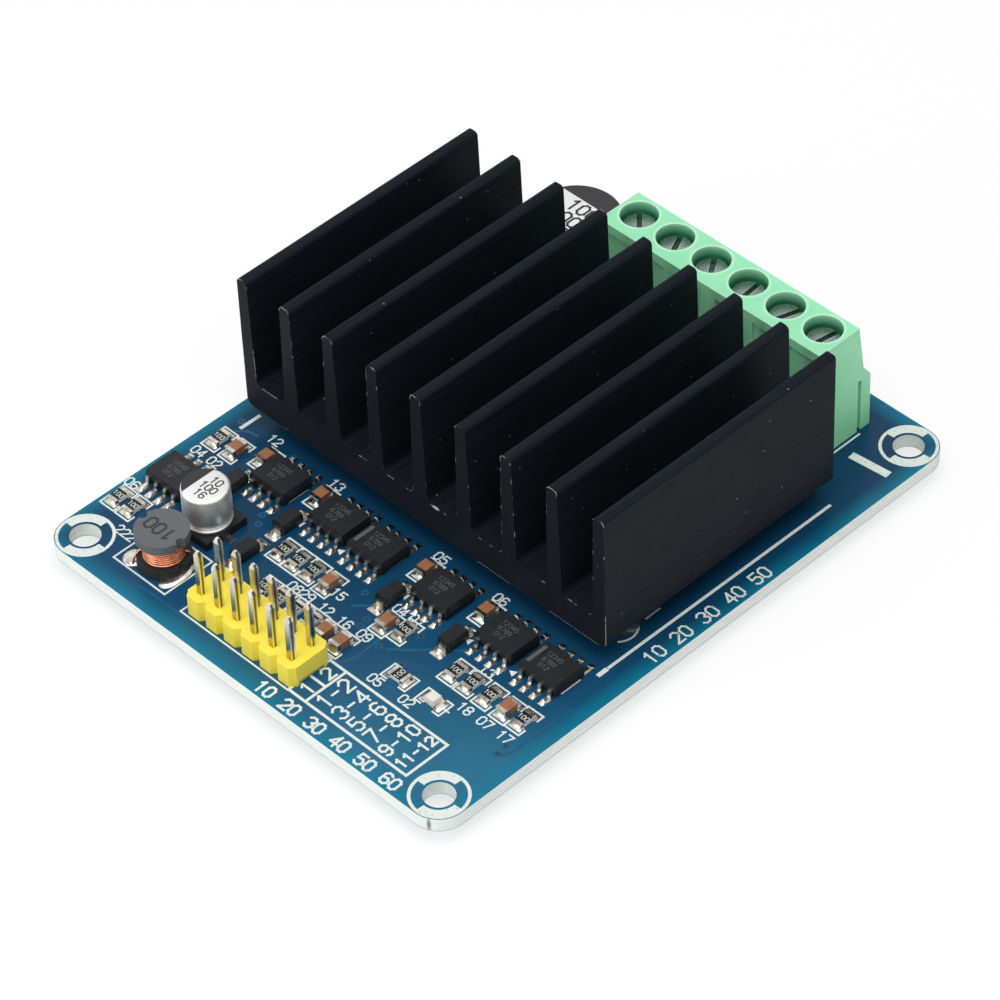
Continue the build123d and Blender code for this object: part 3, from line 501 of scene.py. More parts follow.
def addBox(mesh, centre, size, level, heading=0.0):
    # A flat rectangle in mm, turned by the heading in radians.
    placing = (Matrix.Translation((centre[0] * mm, centre[1] * mm, level * mm))
               @ Matrix.Rotation(heading, 4, "Z")
               @ Matrix.Diagonal((size[0] * mm, size[1] * mm, 1, 1)))
    grid = bmesh.ops.create_grid(mesh, x_segments=1, y_segments=1, size=0.5, matrix=placing)
    hair = mesh.verts.layers.float.get("hair")
    if hair:
        more = random.uniform(0, flats["hair"])
        for vert in grid["verts"]:
            vert[hair] = more


def addPath(mesh, points, width, level):
    # Flat bars from point to point, each longer at both ends by half its width.
    for start, end in zip(points, points[1:]):
        start, end = Vector(start), Vector(end)
        along = end - start
        heading = math.atan2(along.y, along.x)
        addBox(mesh, (start + end) / 2, (along.length + width, width), level, heading)


def addArc(mesh, centre, inner, outer, start, end, level):
    # Part of a flat ring, spun from one angle to the other in degrees.
    ray = Vector((math.cos(math.radians(start)), math.sin(math.radians(start)), 0))
    middle = Vector((centre[0], centre[1], level))
    pair = [mesh.verts.new((middle + ray * radius) * mm) for radius in (inner, outer)]
    steps = max(2, round((end - start) / flats["arcStep"]))
    bmesh.ops.spin(mesh, geom=pair + [mesh.edges.new(pair)], cent=middle * mm, axis=(0, 0, 1),
                   angle=math.radians(end - start), steps=steps, use_merge=end - start == 360)


def addDisc(mesh, spot, radius, level, segments):
    # A flat disc in mm, or a triangle where it has three segments.
    placing = Matrix.Translation((spot[0] * mm, spot[1] * mm, level * mm))
    bmesh.ops.create_circle(mesh, cap_ends=True, segments=segments, radius=radius * mm,
                            matrix=placing)


def raisedPiece(name, mesh, height, materialName, below=False):
    # The piece made of a mesh's flat outlines, raised off the board's top or hung below it.
    raiseFlats(mesh, height)
    if below:
        bmesh.ops.scale(mesh, verts=mesh.verts, vec=(1, 1, -1))
    newPiece(name, mesh, "module", materialName)


def raiseFlats(mesh, height):
    # Every flat outline grown upward into a thin closed solid.
    hair = mesh.verts.layers.float.get("hair")
    grown = bmesh.ops.extrude_face_region(mesh, geom=mesh.faces[:])["geom"]
    for vert in pointsOf(grown):
        vert.co.z += (height + (vert[hair] if hair else 0)) * mm


def addLathe(mesh, centre, profile, steps):
    # A solid turned about an upright axis from (radius, height) points in mm, from axis to axis.
    verts = [mesh.verts.new(((centre[0] + radius) * mm, centre[1] * mm, height * mm))
             for radius, height in profile]
    edges = [mesh.edges.new(pair) for pair in zip(verts, verts[1:])]
    bmesh.ops.spin(mesh, geom=verts + edges, cent=(centre[0] * mm, centre[1] * mm, 0),
                   axis=(0, 0, 1), angle=math.tau, steps=steps, use_merge=True)
    bmesh.ops.remove_doubles(mesh, verts=mesh.verts, dist=0.0005 * mm)


solder = {"lengthways": 4, "across": 5, "sway": (0.85, 1.05), "hollow": 1.7, "fade": 4,
          "lip": 0.012, "dropAround": 14, "dropRings": 8}


def addFillet(mesh, foot, outward, width, reach, rise, ground):
    # Solder drawn up a part's end: hollow from its top at the foot to the pad, lower at its sides.
    sheet = bmesh.ops.create_grid(mesh, x_segments=solder["lengthways"],
                                  y_segments=solder["across"], size=0.5)["verts"]
    faces = list({face for vert in sheet for face in vert.link_faces})
    tops = pointsOf(bmesh.ops.extrude_face_region(mesh, geom=faces)["geom"])
    sway = random.uniform(*solder["sway"])
    for vert in tops:
        climb = max(0.5 - vert.co.x, 0) ** solder["hollow"]
        across = 1 - (2 * abs(vert.co.y)) ** solder["fade"]
        vert.co.z = rise * sway * climb * across + solder["lip"]
    placing = (Matrix.Scale(mm, 4) @ Matrix.Translation((foot[0], foot[1], ground))
               @ Matrix.Rotation(math.atan2(outward[1], outward[0]), 4, "Z")
               @ Matrix.Diagonal((reach, width, 1, 1)) @ Matrix.Translation((0.5, 0, 0)))
    bmesh.ops.transform(mesh, matrix=placing, verts=sheet + tops)


def addBlob(mesh, centre, size):
    # A rounded drop of solder, half of it sunk in its pad.
    placing = (Matrix.Translation(Vector(centre) * mm)
               @ Matrix.Diagonal([s * mm for s in size] + [1]))
    bmesh.ops.create_uvsphere(mesh, u_segments=solder["dropAround"],
                              v_segments=solder["dropRings"], radius=0.5, matrix=placing)


def addWire(mesh, points, gauge, sides):
    # A round wire through points in mm: a circle drawn on from point to point, then closed.
    first = Vector(points[0])
    turn = (Vector(points[1]) - first).to_track_quat("Z", "Y").to_matrix().to_4x4()
    ring = bmesh.ops.create_circle(mesh, cap_ends=True, segments=sides, radius=gauge / 2 * mm,
                                   matrix=Matrix.Translation(first * mm) @ turn)["verts"]
    faces = list({face for vert in ring for face in vert.link_faces})
    for near, far in zip(points, points[1:]):
        grown = bmesh.ops.extrude_face_region(mesh, geom=faces)["geom"]
        if near != points[0]:
            bmesh.ops.delete(mesh, geom=faces, context="FACES_ONLY")
        faces = [item for item in grown if isinstance(item, bmesh.types.BMFace)]
        step = (Vector(far) - Vector(near)) * mm
        bmesh.ops.translate(mesh, verts=pointsOf(grown), vec=step)


# Each sign's strokes in hundredths of its height, and the signs' width and pitch in shares of it.
signWidth, signPitch = 0.6, 0.84
signStrokes = {
    "0": [[(0, 20), (0, 80), (18, 100), (42, 100), (60, 80), (60, 20), (42, 0), (18, 0), (0, 20)]],
    "1": [[(10, 80), (32, 100), (32, 0)]],
    "2": [[(0, 80), (18, 100), (42, 100), (60, 80), (60, 62), (0, 0), (60, 0)]],
    "3": [[(0, 85), (18, 100), (42, 100), (60, 82), (60, 66), (42, 52), (60, 38), (60, 18),
           (42, 0), (18, 0), (0, 15)]],
    "4": [[(46, 0), (46, 100), (0, 30), (60, 30)]],
    "5": [[(56, 100), (4, 100), (0, 56), (42, 60), (60, 42), (60, 18), (42, 0), (16, 0), (0, 14)]],
    "6": [[(55, 90), (40, 100), (18, 100), (0, 80), (0, 18), (18, 0), (42, 0), (60, 18), (60, 40),
           (42, 56), (0, 50)]],
    "7": [[(0, 100), (60, 100), (20, 0)]],
    "8": [[(18, 52), (0, 68), (0, 84), (18, 100), (42, 100), (60, 84), (60, 68), (42, 52),
           (18, 52), (0, 36), (0, 18), (18, 0), (42, 0), (60, 18), (60, 36), (42, 52)]],
    "9": [[(5, 10), (20, 0), (42, 0), (60, 20), (60, 82), (42, 100), (18, 100), (0, 82), (0, 60),
           (18, 44), (60, 50)]],
    "+": [[(2, 50), (58, 50)], [(30, 20), (30, 80)]],
    "-": [[(8, 50), (52, 50)]],
}


def addText(mesh, text, centre, heading, height, stroke, level):
    # Numbers drawn in strokes, read along the heading in degrees from +X.
    turn = Matrix.Rotation(math.radians(heading), 2)
    first = -((len(text) - 1) * signPitch + signWidth) / 2
    for index, sign in enumerate(text):
        left = first + index * signPitch
        for line in signStrokes.get(sign, []):
            points = [Vector(centre) + turn @ Vector((left + x / 100, y / 100 - 0.5)) * height
                      for x, y in line]
            addPath(mesh, points, stroke, level)


boardLow, boardHigh = boxOf("circuit_board")
boardTop = boardHigh.z
chipNames = ["boost_converter", *[f"gate_driver_{i + 1}" for i in range(4)],
             "comparator_1", "comparator_2"]
alongX, downY = 0, -90  # headings of the writing

ink = {"line": 0.2, "thick": 0.42, "dash": 0.5, "frame": 0.34, "bar": 0.95, "letter": 1.05,
       "signLetter": 1.2, "stroke": 0.17, "height": 0.018, "cornerX": 32.4, "cornerY": 24.9,
       "ringOuter": 3.02, "ringLine": 0.34, "holeRim": 1.9, "filled": 97, "bracket": (3.3, 1.95),
       "bracketGap": 0.85, "endReach": 1.8, "pinMark": 1.0, "bow": (1.9, 2.12, 225, 315)}
designators = [
    ("04", -16.7, 25.74), ("02", -16.71, 23.39), ("12", -10.36, 21.34), ("13", -10.53, 12.14),
    ("08", -23.14, 4.64), ("15", -20.87, 0.93), ("05", -10.55, -2.72), ("04", -18.25, -4.99),
    ("07", -18.08, -7.11), ("06", -10.57, -10.94), ("13", -18.22, -16.83),
    ("18 07 17", -23.09, -21.45), ("29 12 16", -23.1, 0.32), ("09", -22.99, -4.95),
    ("05", -26.31, -9.96), ("02", -26.21, -14.08), ("222", -29.47, 22.26), ("06", -24.31, 27.08)]
mesh = newFlats()
for text, x, y in designators:
    addText(mesh, text, (x, y), downY, ink["letter"], ink["stroke"], boardTop)

# A ring round each corner hole, its two opposite quarters filled.
cornerHoles = [(signX * ink["cornerX"], signY * ink["cornerY"])
               for signX in (-1, 1) for signY in (-1, 1)]
inside = ink["ringOuter"] - ink["ringLine"]
for corner in cornerHoles:
    addArc(mesh, corner, inside, ink["ringOuter"], 0, 360, boardTop)
    for middle in (45, 225):
        addArc(mesh, corner, ink["holeRim"], inside, middle - ink["filled"] / 2,
               middle + ink["filled"] / 2, boardTop)

# Brackets round the chip resistors, capacitors and the lamp, open at their middle.
chipParts = [box for node in ("chip_resistors", "chip_capacitors", "indicator_lamp")
             for box in solidBoxes(node)]
capBoxes = solidBoxes("chip_end_caps") + solidBoxes("indicator_lamp_ends")
half, side, gap = ink["bracket"][0] / 2, ink["bracket"][1] / 2, ink["bracketGap"]
for part in chipParts:
    centre = middleOf(part)
    ends = [middleOf(cap) for cap in capBoxes if (middleOf(cap) - centre).length < ink["endReach"]]
    apartX = sum(abs(end.x - centre.x) for end in ends)
    apartY = sum(abs(end.y - centre.y) for end in ends)
    for sign in (-1, 1):
        shape = [(sign * gap, side), (sign * half, side), (sign * half, -side), (sign * gap, -side)]
        points = [(centre.x + a, centre.y + b) if apartX > apartY else (centre.x + b, centre.y + a)
                  for a, b in shape]
        addPath(mesh, points, ink["line"], boardTop)

# Lines by the chips, the header's and the inductor's outlines, and marks near the edges.
for width, points in [
        ("line", [(-15.4, 13.85), (-13.0, 13.85)]),
        ("line", [(-15.4, -0.1), (-13.0, -0.1)]),
        ("line", [(-15.4, -23.95), (-13.0, -23.95)]),
        ("line", [(-32.95, 10.3), (-27.3, 10.3), (-27.3, -4.9)]),
        ("line", [(-32.95, 10.3), (-32.95, -4.9)]),
        ("line", [(-32.5, 13.12), (-32.5, 20.59), (-26.3, 20.59), (-26.3, 13.12), (-32.5, 13.12)]),
        ("thick", [(-11.4, 25.2), (-9.1, 25.15)]),
        ("dash", [(-11.2, -24.8), (-10.4, -24.8)]),
        ("frame", [(-9.9, -24.8), (20.7, -25.0)]),
        ("bar", [(27.55, -22.1), (27.9, -25.8)]),
        ("line", [(-2.81, -22.81), (-0.93, -22.79)]),
        ("line", [(24.0, -20.2), (30.3, -20.2)])]:
    addPath(mesh, points, ink[width], boardTop)

# A triangle at each chip's first lead, a bow under the heatsink's corner, and the lamp's sign.
for spot in [(-16.72, 10.72), (-16.69, 5.05), (-16.6, -3.96), (-16.61, -12.71), (-16.69, -18.73)]:
    addDisc(mesh, spot, ink["pinMark"] / 2, boardTop, 3)
addArc(mesh, (-5.5, -21.6), *ink["bow"], boardTop)
addText(mesh, "+", (-24.5, -17.68), alongX, ink["signLetter"], ink["stroke"], boardTop)

# The table of pin numbers beside the header, and the numbers along two edges.
legend = {"left": -32.85, "right": -27.5, "top": -4.9, "head": -7.2, "foot": -20.95, "split": -30.2,
          "line": 0.3, "stroke": 0.25, "middle": -30.15, "first": -8.45, "pitch": 2.2,
          "rows": {"1-2": 1.65, "3-4": 1.65, "5-6": 1.65, "7-8": 1.65, "9-10": 1.4, "11-12": 1.15}}
left, right, top, head, foot, split = [
    legend[key] for key in ("left", "right", "top", "head", "foot", "split")]
for points in [[(left, top), (right, top), (right, foot), (left, foot), (left, top)],
               [(left, head), (right, head)], [(split, top), (split, head)]]:
    addPath(mesh, points, legend["line"], boardTop)
writings = [("1", (-31.5, -6.05), alongX, 1.5, legend["stroke"]),
            ("2", (-28.85, -6.05), alongX, 1.5, legend["stroke"])]
for row, (text, letter) in enumerate(legend["rows"].items()):
    spot = (legend["middle"], legend["first"] - row * legend["pitch"])
    writings.append((text, spot, alongX, letter, legend["stroke"]))
writings += [("10 20 30 40 50 60", (-34.35, -11.85), downY, 1.36, 0.26),
             ("10 20 30 40 50", (1.65, -26.7), alongX, 1.45, 0.21)]
for text, spot, heading, letter, stroke in writings:
    addText(mesh, text, spot, heading, letter, stroke, boardTop)
raisedPiece("boardPrint", mesh, ink["height"], "whiteEpoxyInk")
print("board print made")

# Copper that stands up under the mask: a few tracks, and the rings of plated holes. Below, the
# holes come out again, and tracks lead off from the terminal and the header.
copper = {"width": 0.32, "wide": 2.4, "height": 0.014, "viaOuter": 0.42, "viaInner": 0.17,
          "viaSteps": 20, "bore": 0.004}
trackPaths = [
    [(-24.9, -25.5), (-24.0, -25.95), (-16.2, -26.0)],
    [(-12.15, 25.16), (-11.35, 24.31), (-11.13, 23.2)],
    [(-17.3, 26.9), (-16.3, 26.4)],
    [(-27.5, -5.25), (-26.8, -6.05), (-25.6, -6.45), (-20.5, -6.22)],
    [(-21.0, -1.2), (-19.6, -2.6)],
    [(-22.7, -7.9), (-20.7, -10.1)],
    [(-33.4, 15.8), (-33.3, 13.5), (-33.3, 10.2)],
    [(-21.7, -9.1), (-20.0, -10.8)],
    [(-18.7, -12.3), (-17.6, -13.5)]]
viaPlaces = [(-10.82, 25.85), (-10.89, 18.21), (-18.5, 14.4), (-19.66, 13.72), (-21.3, -3.5),
             (-22.4, -3.7), (-23.0, -6.94), (-18.95, -0.76), (-23.2, -10.3), (-19.3, -8.9),
             (-17.8, -8.7), (-25.05, -25.07), (-23.84, -24.92)]
topTracks = [(points, copper["width"]) for points in trackPaths]
under = {"poleStart": 24.6, "poleEnds": (17.5, 19.5), "pinStart": -28.0, "bend": -24.0,
         "stagger": 0.6, "slant": 2.4}
undersideTracks = []
for index in range(poles["count"]):
    y = poles["firstY"] - poles["pitch"] * index
    points = [(under["poleStart"], y), (under["poleEnds"][index % 2], y)]
    undersideTracks.append((points, copper["wide"]))
    y = pins["firstY"] - pins["pitch"] * index
    bend = under["bend"] + under["stagger"] * index
    points = [(under["pinStart"], y), (bend, y), (bend + under["slant"], y - under["slant"])]
    undersideTracks.append((points, copper["width"]))
for names, tracks, rings, level, below in [
        (("maskedCopper", "platedHoles"), topTracks, [], boardTop, False),
        (("undersideCopper", "undersideHoles"), undersideTracks, cornerHoles, boardLow.z, True)]:
    mesh = newFlats()
    for points, width in tracks:
        addPath(mesh, points, width, level)
    for spot in viaPlaces:
        addArc(mesh, spot, copper["viaInner"], copper["viaOuter"], 0, 360, level)
    for corner in rings:
        addArc(mesh, corner, ink["holeRim"], ink["ringOuter"], 0, 360, level)
    raisedPiece(names[0], mesh, copper["height"], "maskOverCopper", below)
    mesh = newFlats()
    for spot in viaPlaces:
        addDisc(mesh, spot, copper["viaInner"], level, copper["viaSteps"])
    raisedPiece(names[1], mesh, copper["bore"], "pluggedHoleResin", below)
print("tracks made")

# Tinned pads, and the solder that climbs the ends of leads, tabs and chip parts.
pad = {"thickness": 0.03, "leadWidth": 0.72, "leadToe": 0.62, "leadHeel": 0.2, "leadFoot": 0.75,
       "leadRise": 0.32, "chipReach": 0.4, "chipRise": 0.4, "chipMargin": 0.12, "tabReach": 0.65,
       "tabRise": 0.6, "tabMargin": 0.25, "tabFoot": 1.2, "capShare": 0.85, "dropHeight": 0.6}
covered = {"lead": (0.86, 0.85), "chip": (0.94, 0.92), "tab": (0.95, 0.92)}  # of width and reach
padTop = boardTop + pad["thickness"]
padSpots, fillets = [], []


def addToe(box, sign, back, reach, width, rise, shares):
    # The pad from behind a lead's or tab's toe to before it, and the solder before the toe.
    toe = box[1].x if sign > 0 else box[0].x
    y = (box[0].y + box[1].y) / 2
    inner, outer = toe - sign * back, toe + sign * reach
    padSpots.append((((inner + outer) / 2, y), (abs(outer - inner), width)))
    fillets.append(((toe, y), (sign, 0), width * shares[0], reach * shares[1], rise))


for name in chipNames:
    middle = middleOf(boxOf(name + "_body"))
    for lead in solidBoxes(name + "_leads"):
        sign = 1 if middleOf(lead).x > middle.x else -1
        addToe(lead, sign, pad["leadFoot"] + pad["leadHeel"], pad["leadToe"], pad["leadWidth"],
               pad["leadRise"], covered["lead"])
for low, high in capBoxes:
    centre = (low + high) / 2
    part = min(chipParts, key=lambda box: (middleOf(box) - centre).length)
    away = centre - middleOf(part)
    lengthwise = abs(away.x) > abs(away.y)
    outward = Vector((math.copysign(1, away.x), 0) if lengthwise else (0, math.copysign(1, away.y)))
    sizes = (high.x - low.x, high.y - low.y)
    depth, width = sizes if lengthwise else sizes[::-1]
    width += 2 * pad["chipMargin"]
    foot = centre.to_2d() + outward * depth / 2
    padLength = pad["chipReach"] + depth
    padCentre = foot + outward * (pad["chipReach"] - depth) / 2
    padSpots.append((padCentre, (padLength, width) if lengthwise else (width, padLength)))
    rise = min(pad["chipRise"], (high.z - padTop) * pad["capShare"])
    fillets.append((foot, outward, width * covered["chip"][0],
                    pad["chipReach"] * covered["chip"][1], rise))
diodeBodies = solidBoxes("diode_bodies")
for tab in solidBoxes("diode_tabs"):
    centre = middleOf(tab)
    body = min(diodeBodies, key=lambda box: (middleOf(box) - centre).length)
    sign = math.copysign(1, centre.x - middleOf(body).x)
    width = tab[1].y - tab[0].y + 2 * pad["tabMargin"]
    addToe(tab, sign, pad["tabFoot"], pad["tabReach"], width, pad["tabRise"], covered["tab"])
coilPads = [((-31.1, 19.0), (2.6, 2.4)), ((-29.9, 14.15), (4.6, 2.1))]
mesh = newFlats()
for centre, size in padSpots:
    addBox(mesh, centre, size, boardTop)
raiseFlats(mesh, pad["thickness"] - flats["hair"])
for foot, outward, width, reach, rise in fillets:
    addFillet(mesh, foot, outward, width, reach, rise, padTop)
for centre, size in coilPads:
    addBlob(mesh, (*centre, padTop), (*size, pad["dropHeight"]))
newPiece("padsAndSolder", mesh, "module", "tinPlatedCopper", smoothBelow=50)
print("solder made")

# Solder cones under the board, where the header's pins and the terminal's tails come through.
cone = {"height": 1.0, "bow": 2.2, "rows": 5, "steps": 14, "halfTail": 0.3, "bareTip": 0.15,
        "sizes": {"header_pins": (0.95, 0.47), "terminal_pins": (1.25, 0.6)}}  # foot and neck
mesh = bmesh.new()
for name, (foot, neck) in cone["sizes"].items():
    for low, high in solidBoxes(name):
        if low.z > boardLow.z - cone["halfTail"]:
            continue  # ends above the board's underside
        drop = min(cone["height"], boardLow.z - low.z - cone["bareTip"])
        profile = [(0, boardLow.z)]
        for row in range(cone["rows"] + 1):
            share = row / cone["rows"]
            radius = neck + (foot - neck) * (1 - share) ** cone["bow"]
            profile.append((radius, boardLow.z - drop * share))
        profile.append((0, boardLow.z - drop))
        spotX = (low.x + high.x) / 2 if name == "header_pins" else low.x + cone["halfTail"]
        addLathe(mesh, (spotX, (low.y + high.y) / 2), profile, cone["steps"])
newPiece("undersideSolder", mesh, "module", "tinPlatedCopper", smoothBelow=50)

# Plain numbers on the chips, faint from the laser, and in white on the resistors.
chipMark = {"letter": 0.5, "stroke": 0.06, "height": 0.006, "rows": ["12345", "6789", "012"],
            "pitch": 0.8, "shift": 0.3, "band": (2.6, 0.42), "bandIn": 0.5}
resistorMark = {"text": "100", "letter": 0.52, "stroke": 0.065, "height": 0.008}
mesh = newFlats()
for name in chipNames:
    low, high = boxOf(name + "_body")
    centre = (low + high) / 2
    for row, text in enumerate(chipMark["rows"]):
        spot = (centre.x + (1 - row) * chipMark["pitch"], centre.y + chipMark["shift"])
        addText(mesh, text, spot, downY, chipMark["letter"], chipMark["stroke"], high.z)
    if name.startswith("comparator"):
        addBox(mesh, (centre.x, high.y - chipMark["bandIn"]), chipMark["band"], high.z)
raisedPiece("chipMarks", mesh, chipMark["height"], "laserBurntEpoxy")
mesh = newFlats()
for low, high in solidBoxes("chip_resistors"):
    heading = downY if high.x - low.x < high.y - low.y else alongX
    addText(mesh, resistorMark["text"], ((low + high) / 2).to_2d(), heading,
            resistorMark["letter"], resistorMark["stroke"], high.z)
raisedPiece("resistorMarks", mesh, resistorMark["height"], "whiteEpoxyInk")
print("marks made")

# The two electrolytic cans, turned smooth, each with its rolled foot, waist and pole mark.
turned = {"around": 72, "footSteps": 6, "waistSteps": 8, "crownSteps": 6}
canPrint = {"edgeSteps": 64, "insideCrown": 0.35, "rowStep": 1.3, "stroke": 0.17, "height": 0.008}
for size, settings in {
        "small": {"foot": 0.42, "waist": 0.95, "waistDepth": 0.22, "crown": 0.35, "chord": 0.42,
                  "side": 90, "rows": ["10", "100", "16"], "letter": 0.86, "firstRow": 1.118,
                  "aside": 0.2},
        "large": {"foot": 0.5, "waist": 1.6, "waistDepth": 0.35, "crown": 0.55, "chord": 0.47,
                  "side": 0, "rows": ["100", "1000", "35"], "letter": 1.55, "firstRow": 1.15,
                  "aside": 0}}.items():
    low, high = boxOf(size + "_capacitor_can")
    centre = ((low.x + high.x) / 2, (low.y + high.y) / 2)
    radius = (high.x - low.x) / 2
    foot, waist, crown = settings["foot"], settings["waist"], settings["crown"]
    profile = [(0, low.z), (radius - foot, low.z)]
    for step in range(turned["footSteps"] + 1):
        angle = math.radians(-90 + 180 / turned["footSteps"] * step)
        profile.append((radius - foot / 2 + foot / 2 * math.cos(angle),
                        low.z + foot / 2 + foot / 2 * math.sin(angle)))
    for step in range(1, turned["waistSteps"] + 1):
        share = step / turned["waistSteps"]
        profile.append((radius - settings["waistDepth"] * math.sin(math.pi * share),
                        low.z + foot + waist * share))
    for step in range(turned["crownSteps"] + 1):
        angle = math.radians(90 / turned["crownSteps"] * step)
        profile.append((radius - crown + crown * math.cos(angle),
                        high.z - crown + crown * math.sin(angle)))
    profile.append((0, high.z))
    mesh = bmesh.new()
    addLathe(mesh, centre, profile, turned["around"])
    can = newPiece(size + "Can", mesh, "module", "drawnAluminium", smoothBelow=40)
    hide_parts(size + "_capacitor_can")

    # The pole mark: a disc cut along its chord, and rows of numbers beside it.
    side = math.radians(settings["side"])
    towards = Vector((math.cos(side), math.sin(side), 0))
    middle = Vector((centre[0], centre[1], high.z)) * mm
    mesh = newFlats()
    edge = (radius - crown * canPrint["insideCrown"]) * mm
    bmesh.ops.create_circle(mesh, cap_ends=True, segments=canPrint["edgeSteps"], radius=edge,
                            matrix=Matrix.Translation(middle))
    bmesh.ops.bisect_plane(mesh, geom=mesh.verts[:] + mesh.edges[:] + mesh.faces[:],
                           plane_co=middle + towards * edge * settings["chord"], plane_no=towards,
                           clear_inner=True)
    letter = settings["letter"]
    for row, text in enumerate(settings["rows"]):
        spot = (centre[0] + settings["firstRow"] - letter * canPrint["rowStep"] * row,
                centre[1] - radius * settings["aside"])
        addText(mesh, text, spot, downY, letter, letter * canPrint["stroke"], high.z)
    raisedPiece(size + "CanPrint", mesh, canPrint["height"], "blackCanInk")
print("cans made")

# The inductor's winding: turns of round wire between the two discs, both ends led to their pads.
wire = {"gauge": 0.28, "around": 40, "section": 8, "slack": 0.05, "core": 0.6, "ends": (-52, 128),
        "drift": 4}
low, high = boxOf("inductor_winding")
centre = Vector(((low.x + high.x) / 2, (low.y + high.y) / 2, 0))
radius = (high.x - low.x) / 2
turns = int((high.z - low.z) / wire["gauge"])
mesh = bmesh.new()
bobbin = radius - wire["gauge"] * wire["core"]
bottom, top = low.z + 0.02, high.z - 0.02  # just clear of the discs
addLathe(mesh, centre, [(0, bottom), (bobbin, bottom), (bobbin, top), (0, top)], wire["around"])
for turn in range(turns):
    level = low.z + (turn + 0.5) * (high.z - low.z) / turns
    loop = radius - wire["gauge"] / 2 - random.uniform(0, wire["slack"])
    placing = (Matrix.Translation(Vector((centre.x + loop, centre.y, level)) * mm)
               @ Matrix.Rotation(math.pi / 2, 4, "X"))
    ring = bmesh.ops.create_circle(mesh, segments=wire["section"], radius=wire["gauge"] / 2 * mm,
                                   matrix=placing)["verts"]
    around = list({edge for vert in ring for edge in vert.link_edges})
    bmesh.ops.spin(mesh, geom=ring + around, cent=centre * mm, axis=(0, 0, 1), angle=math.tau,
                   steps=wire["around"], use_merge=True)
tail = [(1.9, low.z + 0.5), (2.5, low.z + 0.25), (2.94, low.z - 0.5), (3.0, boardTop + 0.6),
        (3.2, boardTop + 0.2)]  # distance from the axis, and height
for bearing in wire["ends"]:
    around = [math.radians(bearing + wire["drift"] * index) for index in range(len(tail))]
    addWire(mesh, [(centre.x + away * math.cos(angle), centre.y + away * math.sin(angle), level)
                   for angle, (away, level) in zip(around, tail)], wire["gauge"], wire["section"])
winding = newPiece("windingTurns", mesh, "module", "enamelledCopper",
                   smoothBelow=60)
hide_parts("inductor_winding")
coreMark = {"text": "100", "shift": (-0.2, 0.1), "letter": 1.45, "stroke": 0.24, "height": 0.012}
spot = (centre.x + coreMark["shift"][0], centre.y + coreMark["shift"][1])
mesh = newFlats()
addText(mesh, coreMark["text"], spot, -downY, coreMark["letter"], coreMark["stroke"],
        boxOf("inductor_core")[1].z)
raisedPiece("inductorMark", mesh, coreMark["height"], "darkPaint")
print("inductor made")


def seenAsBackdrop(add):
    # 1 for rays from the camera, off metal or through glass, 0 for the rays that light the object.
    light = add("LightPath").outputs
    shiny = add("Math", {0: light["Is Glossy Ray"], 1: light["Is Transmission Ray"]},
                operation="MAXIMUM")
    return add("Math", {0: light["Is Camera Ray"], 1: shiny}, operation="MAXIMUM")


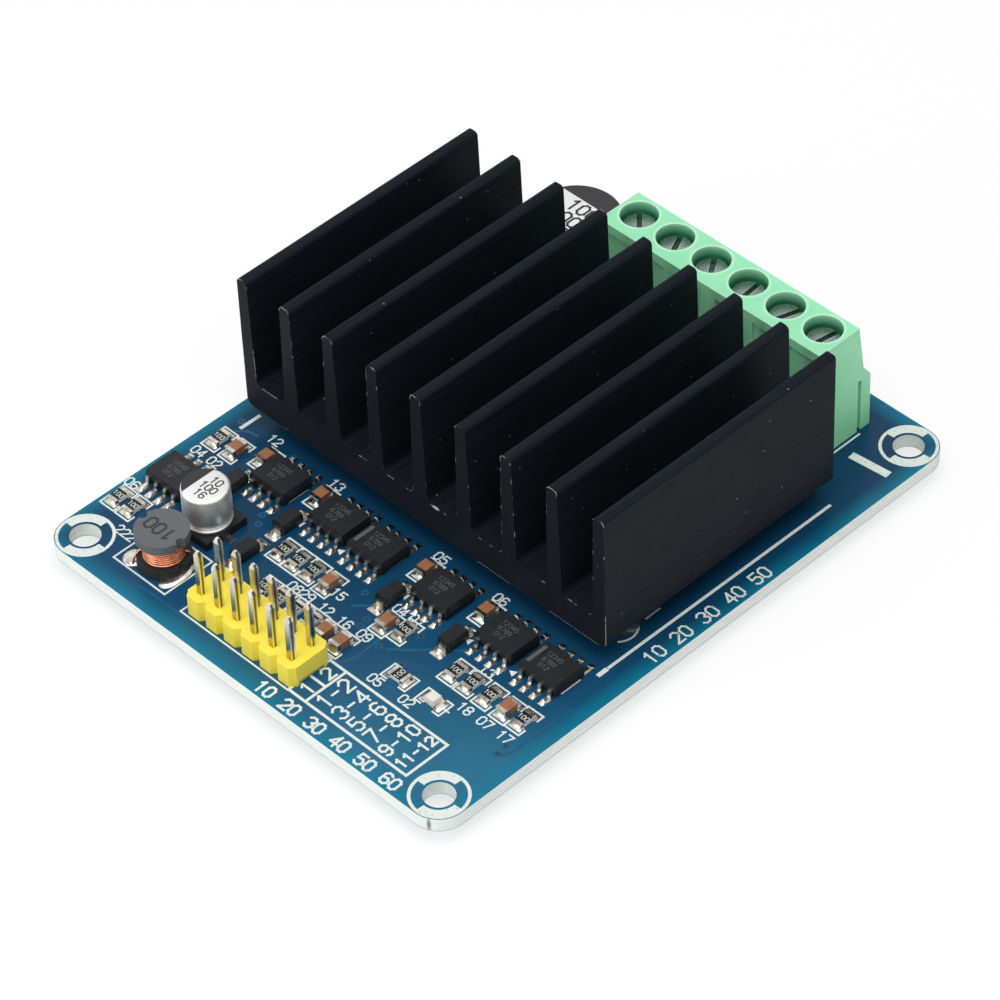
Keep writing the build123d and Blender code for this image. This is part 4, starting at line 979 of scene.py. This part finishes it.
# A plain white floor at the object's lowest point, and soft light from above and from the left.
stage = {"floorHalf": 1.5, "floorGlow": 0.75, "worldOnObject": 0.42, "worldSeen": 1.0}
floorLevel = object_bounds()[0].z
add, shader, place = newMaterial("whitePaper", "#f4f4f4",
                                 {"Roughness": 0.9, "Specular IOR Level": 0.1})
glow = add("Emission", {"Strength": 1.0})
share = add("Math", {0: seenAsBackdrop(add), 1: stage["floorGlow"]}, operation="MULTIPLY")
blend = add("MixShader", {0: share, 1: shader, 2: glow})
tree = shader.id_data
tree.links.new(liveOutput(blend), tree.nodes["Material Output"].inputs["Surface"])
mesh = bmesh.new()
bmesh.ops.create_grid(mesh, x_segments=1, y_segments=1, size=stage["floorHalf"])
bmesh.ops.translate(mesh, verts=mesh.verts, vec=(0, 0, floorLevel))
data = bpy.data.meshes.new("floor")
mesh.to_mesh(data)
mesh.free()
data.materials.append(materials["whitePaper"])
floor = newObject("floor", data)

world = bpy.data.worlds.new("studio")
world.use_nodes = True
bpy.context.scene.world = world
tree = world.node_tree
add = partial(addNode, tree)
strength = {0: seenAsBackdrop(add), 3: stage["worldOnObject"], 4: stage["worldSeen"]}
strength = add("MapRange", strength)
tree.nodes["Background"].inputs["Color"].default_value = hexToLinear("#ffffff")
tree.links.new(liveOutput(strength), tree.nodes["Background"].inputs["Strength"])


def setUp(name, data, place, direction, roll):
    # A lamp or camera at its place in metres, looking that way, rolled by degrees.
    holder = newObject(name, data)
    holder.location = place
    holder.rotation_mode = "QUATERNION"
    turn = Quaternion((0, 0, 1), math.radians(roll))
    holder.rotation_quaternion = direction.to_track_quat("-Z", "Y") @ turn
    return holder


for name, settings in {
        "topLamp": {"place": (-0.1, -0.1, 0.55), "size": 0.5, "power": 2.6},
        "leftLamp": {"place": (-0.6, 0.15, 0.3), "size": 0.4, "power": 1.4}}.items():
    lamp = bpy.data.lights.new(name, "AREA")
    lamp.size = settings["size"]
    lamp.energy = settings["power"]
    setUp(name, lamp, settings["place"], -Vector(settings["place"]), 0)

view = {"target": (0.00008, 0.00007, 0.00018), "distance": 0.4675, "bearing": 42.94, "drop": 43.82,
        "roll": -2.456, "lens": 170.57, "sensor": 36, "clipStart": 0.01}
bearing, drop = math.radians(view["bearing"]), math.radians(view["drop"])
forward = Vector((math.sin(bearing) * math.cos(drop), math.cos(bearing) * math.cos(drop),
                  -math.sin(drop)))
camera = bpy.data.cameras.new("camera")
camera.lens = view["lens"]
camera.sensor_width = view["sensor"]
camera.clip_start = view["clipStart"]
bpy.context.scene.camera = setUp(
    "camera", camera, Vector(view["target"]) - forward * view["distance"], forward, view["roll"])
bpy.context.scene.view_settings.view_transform = "Standard"
print("stage, light and camera set")
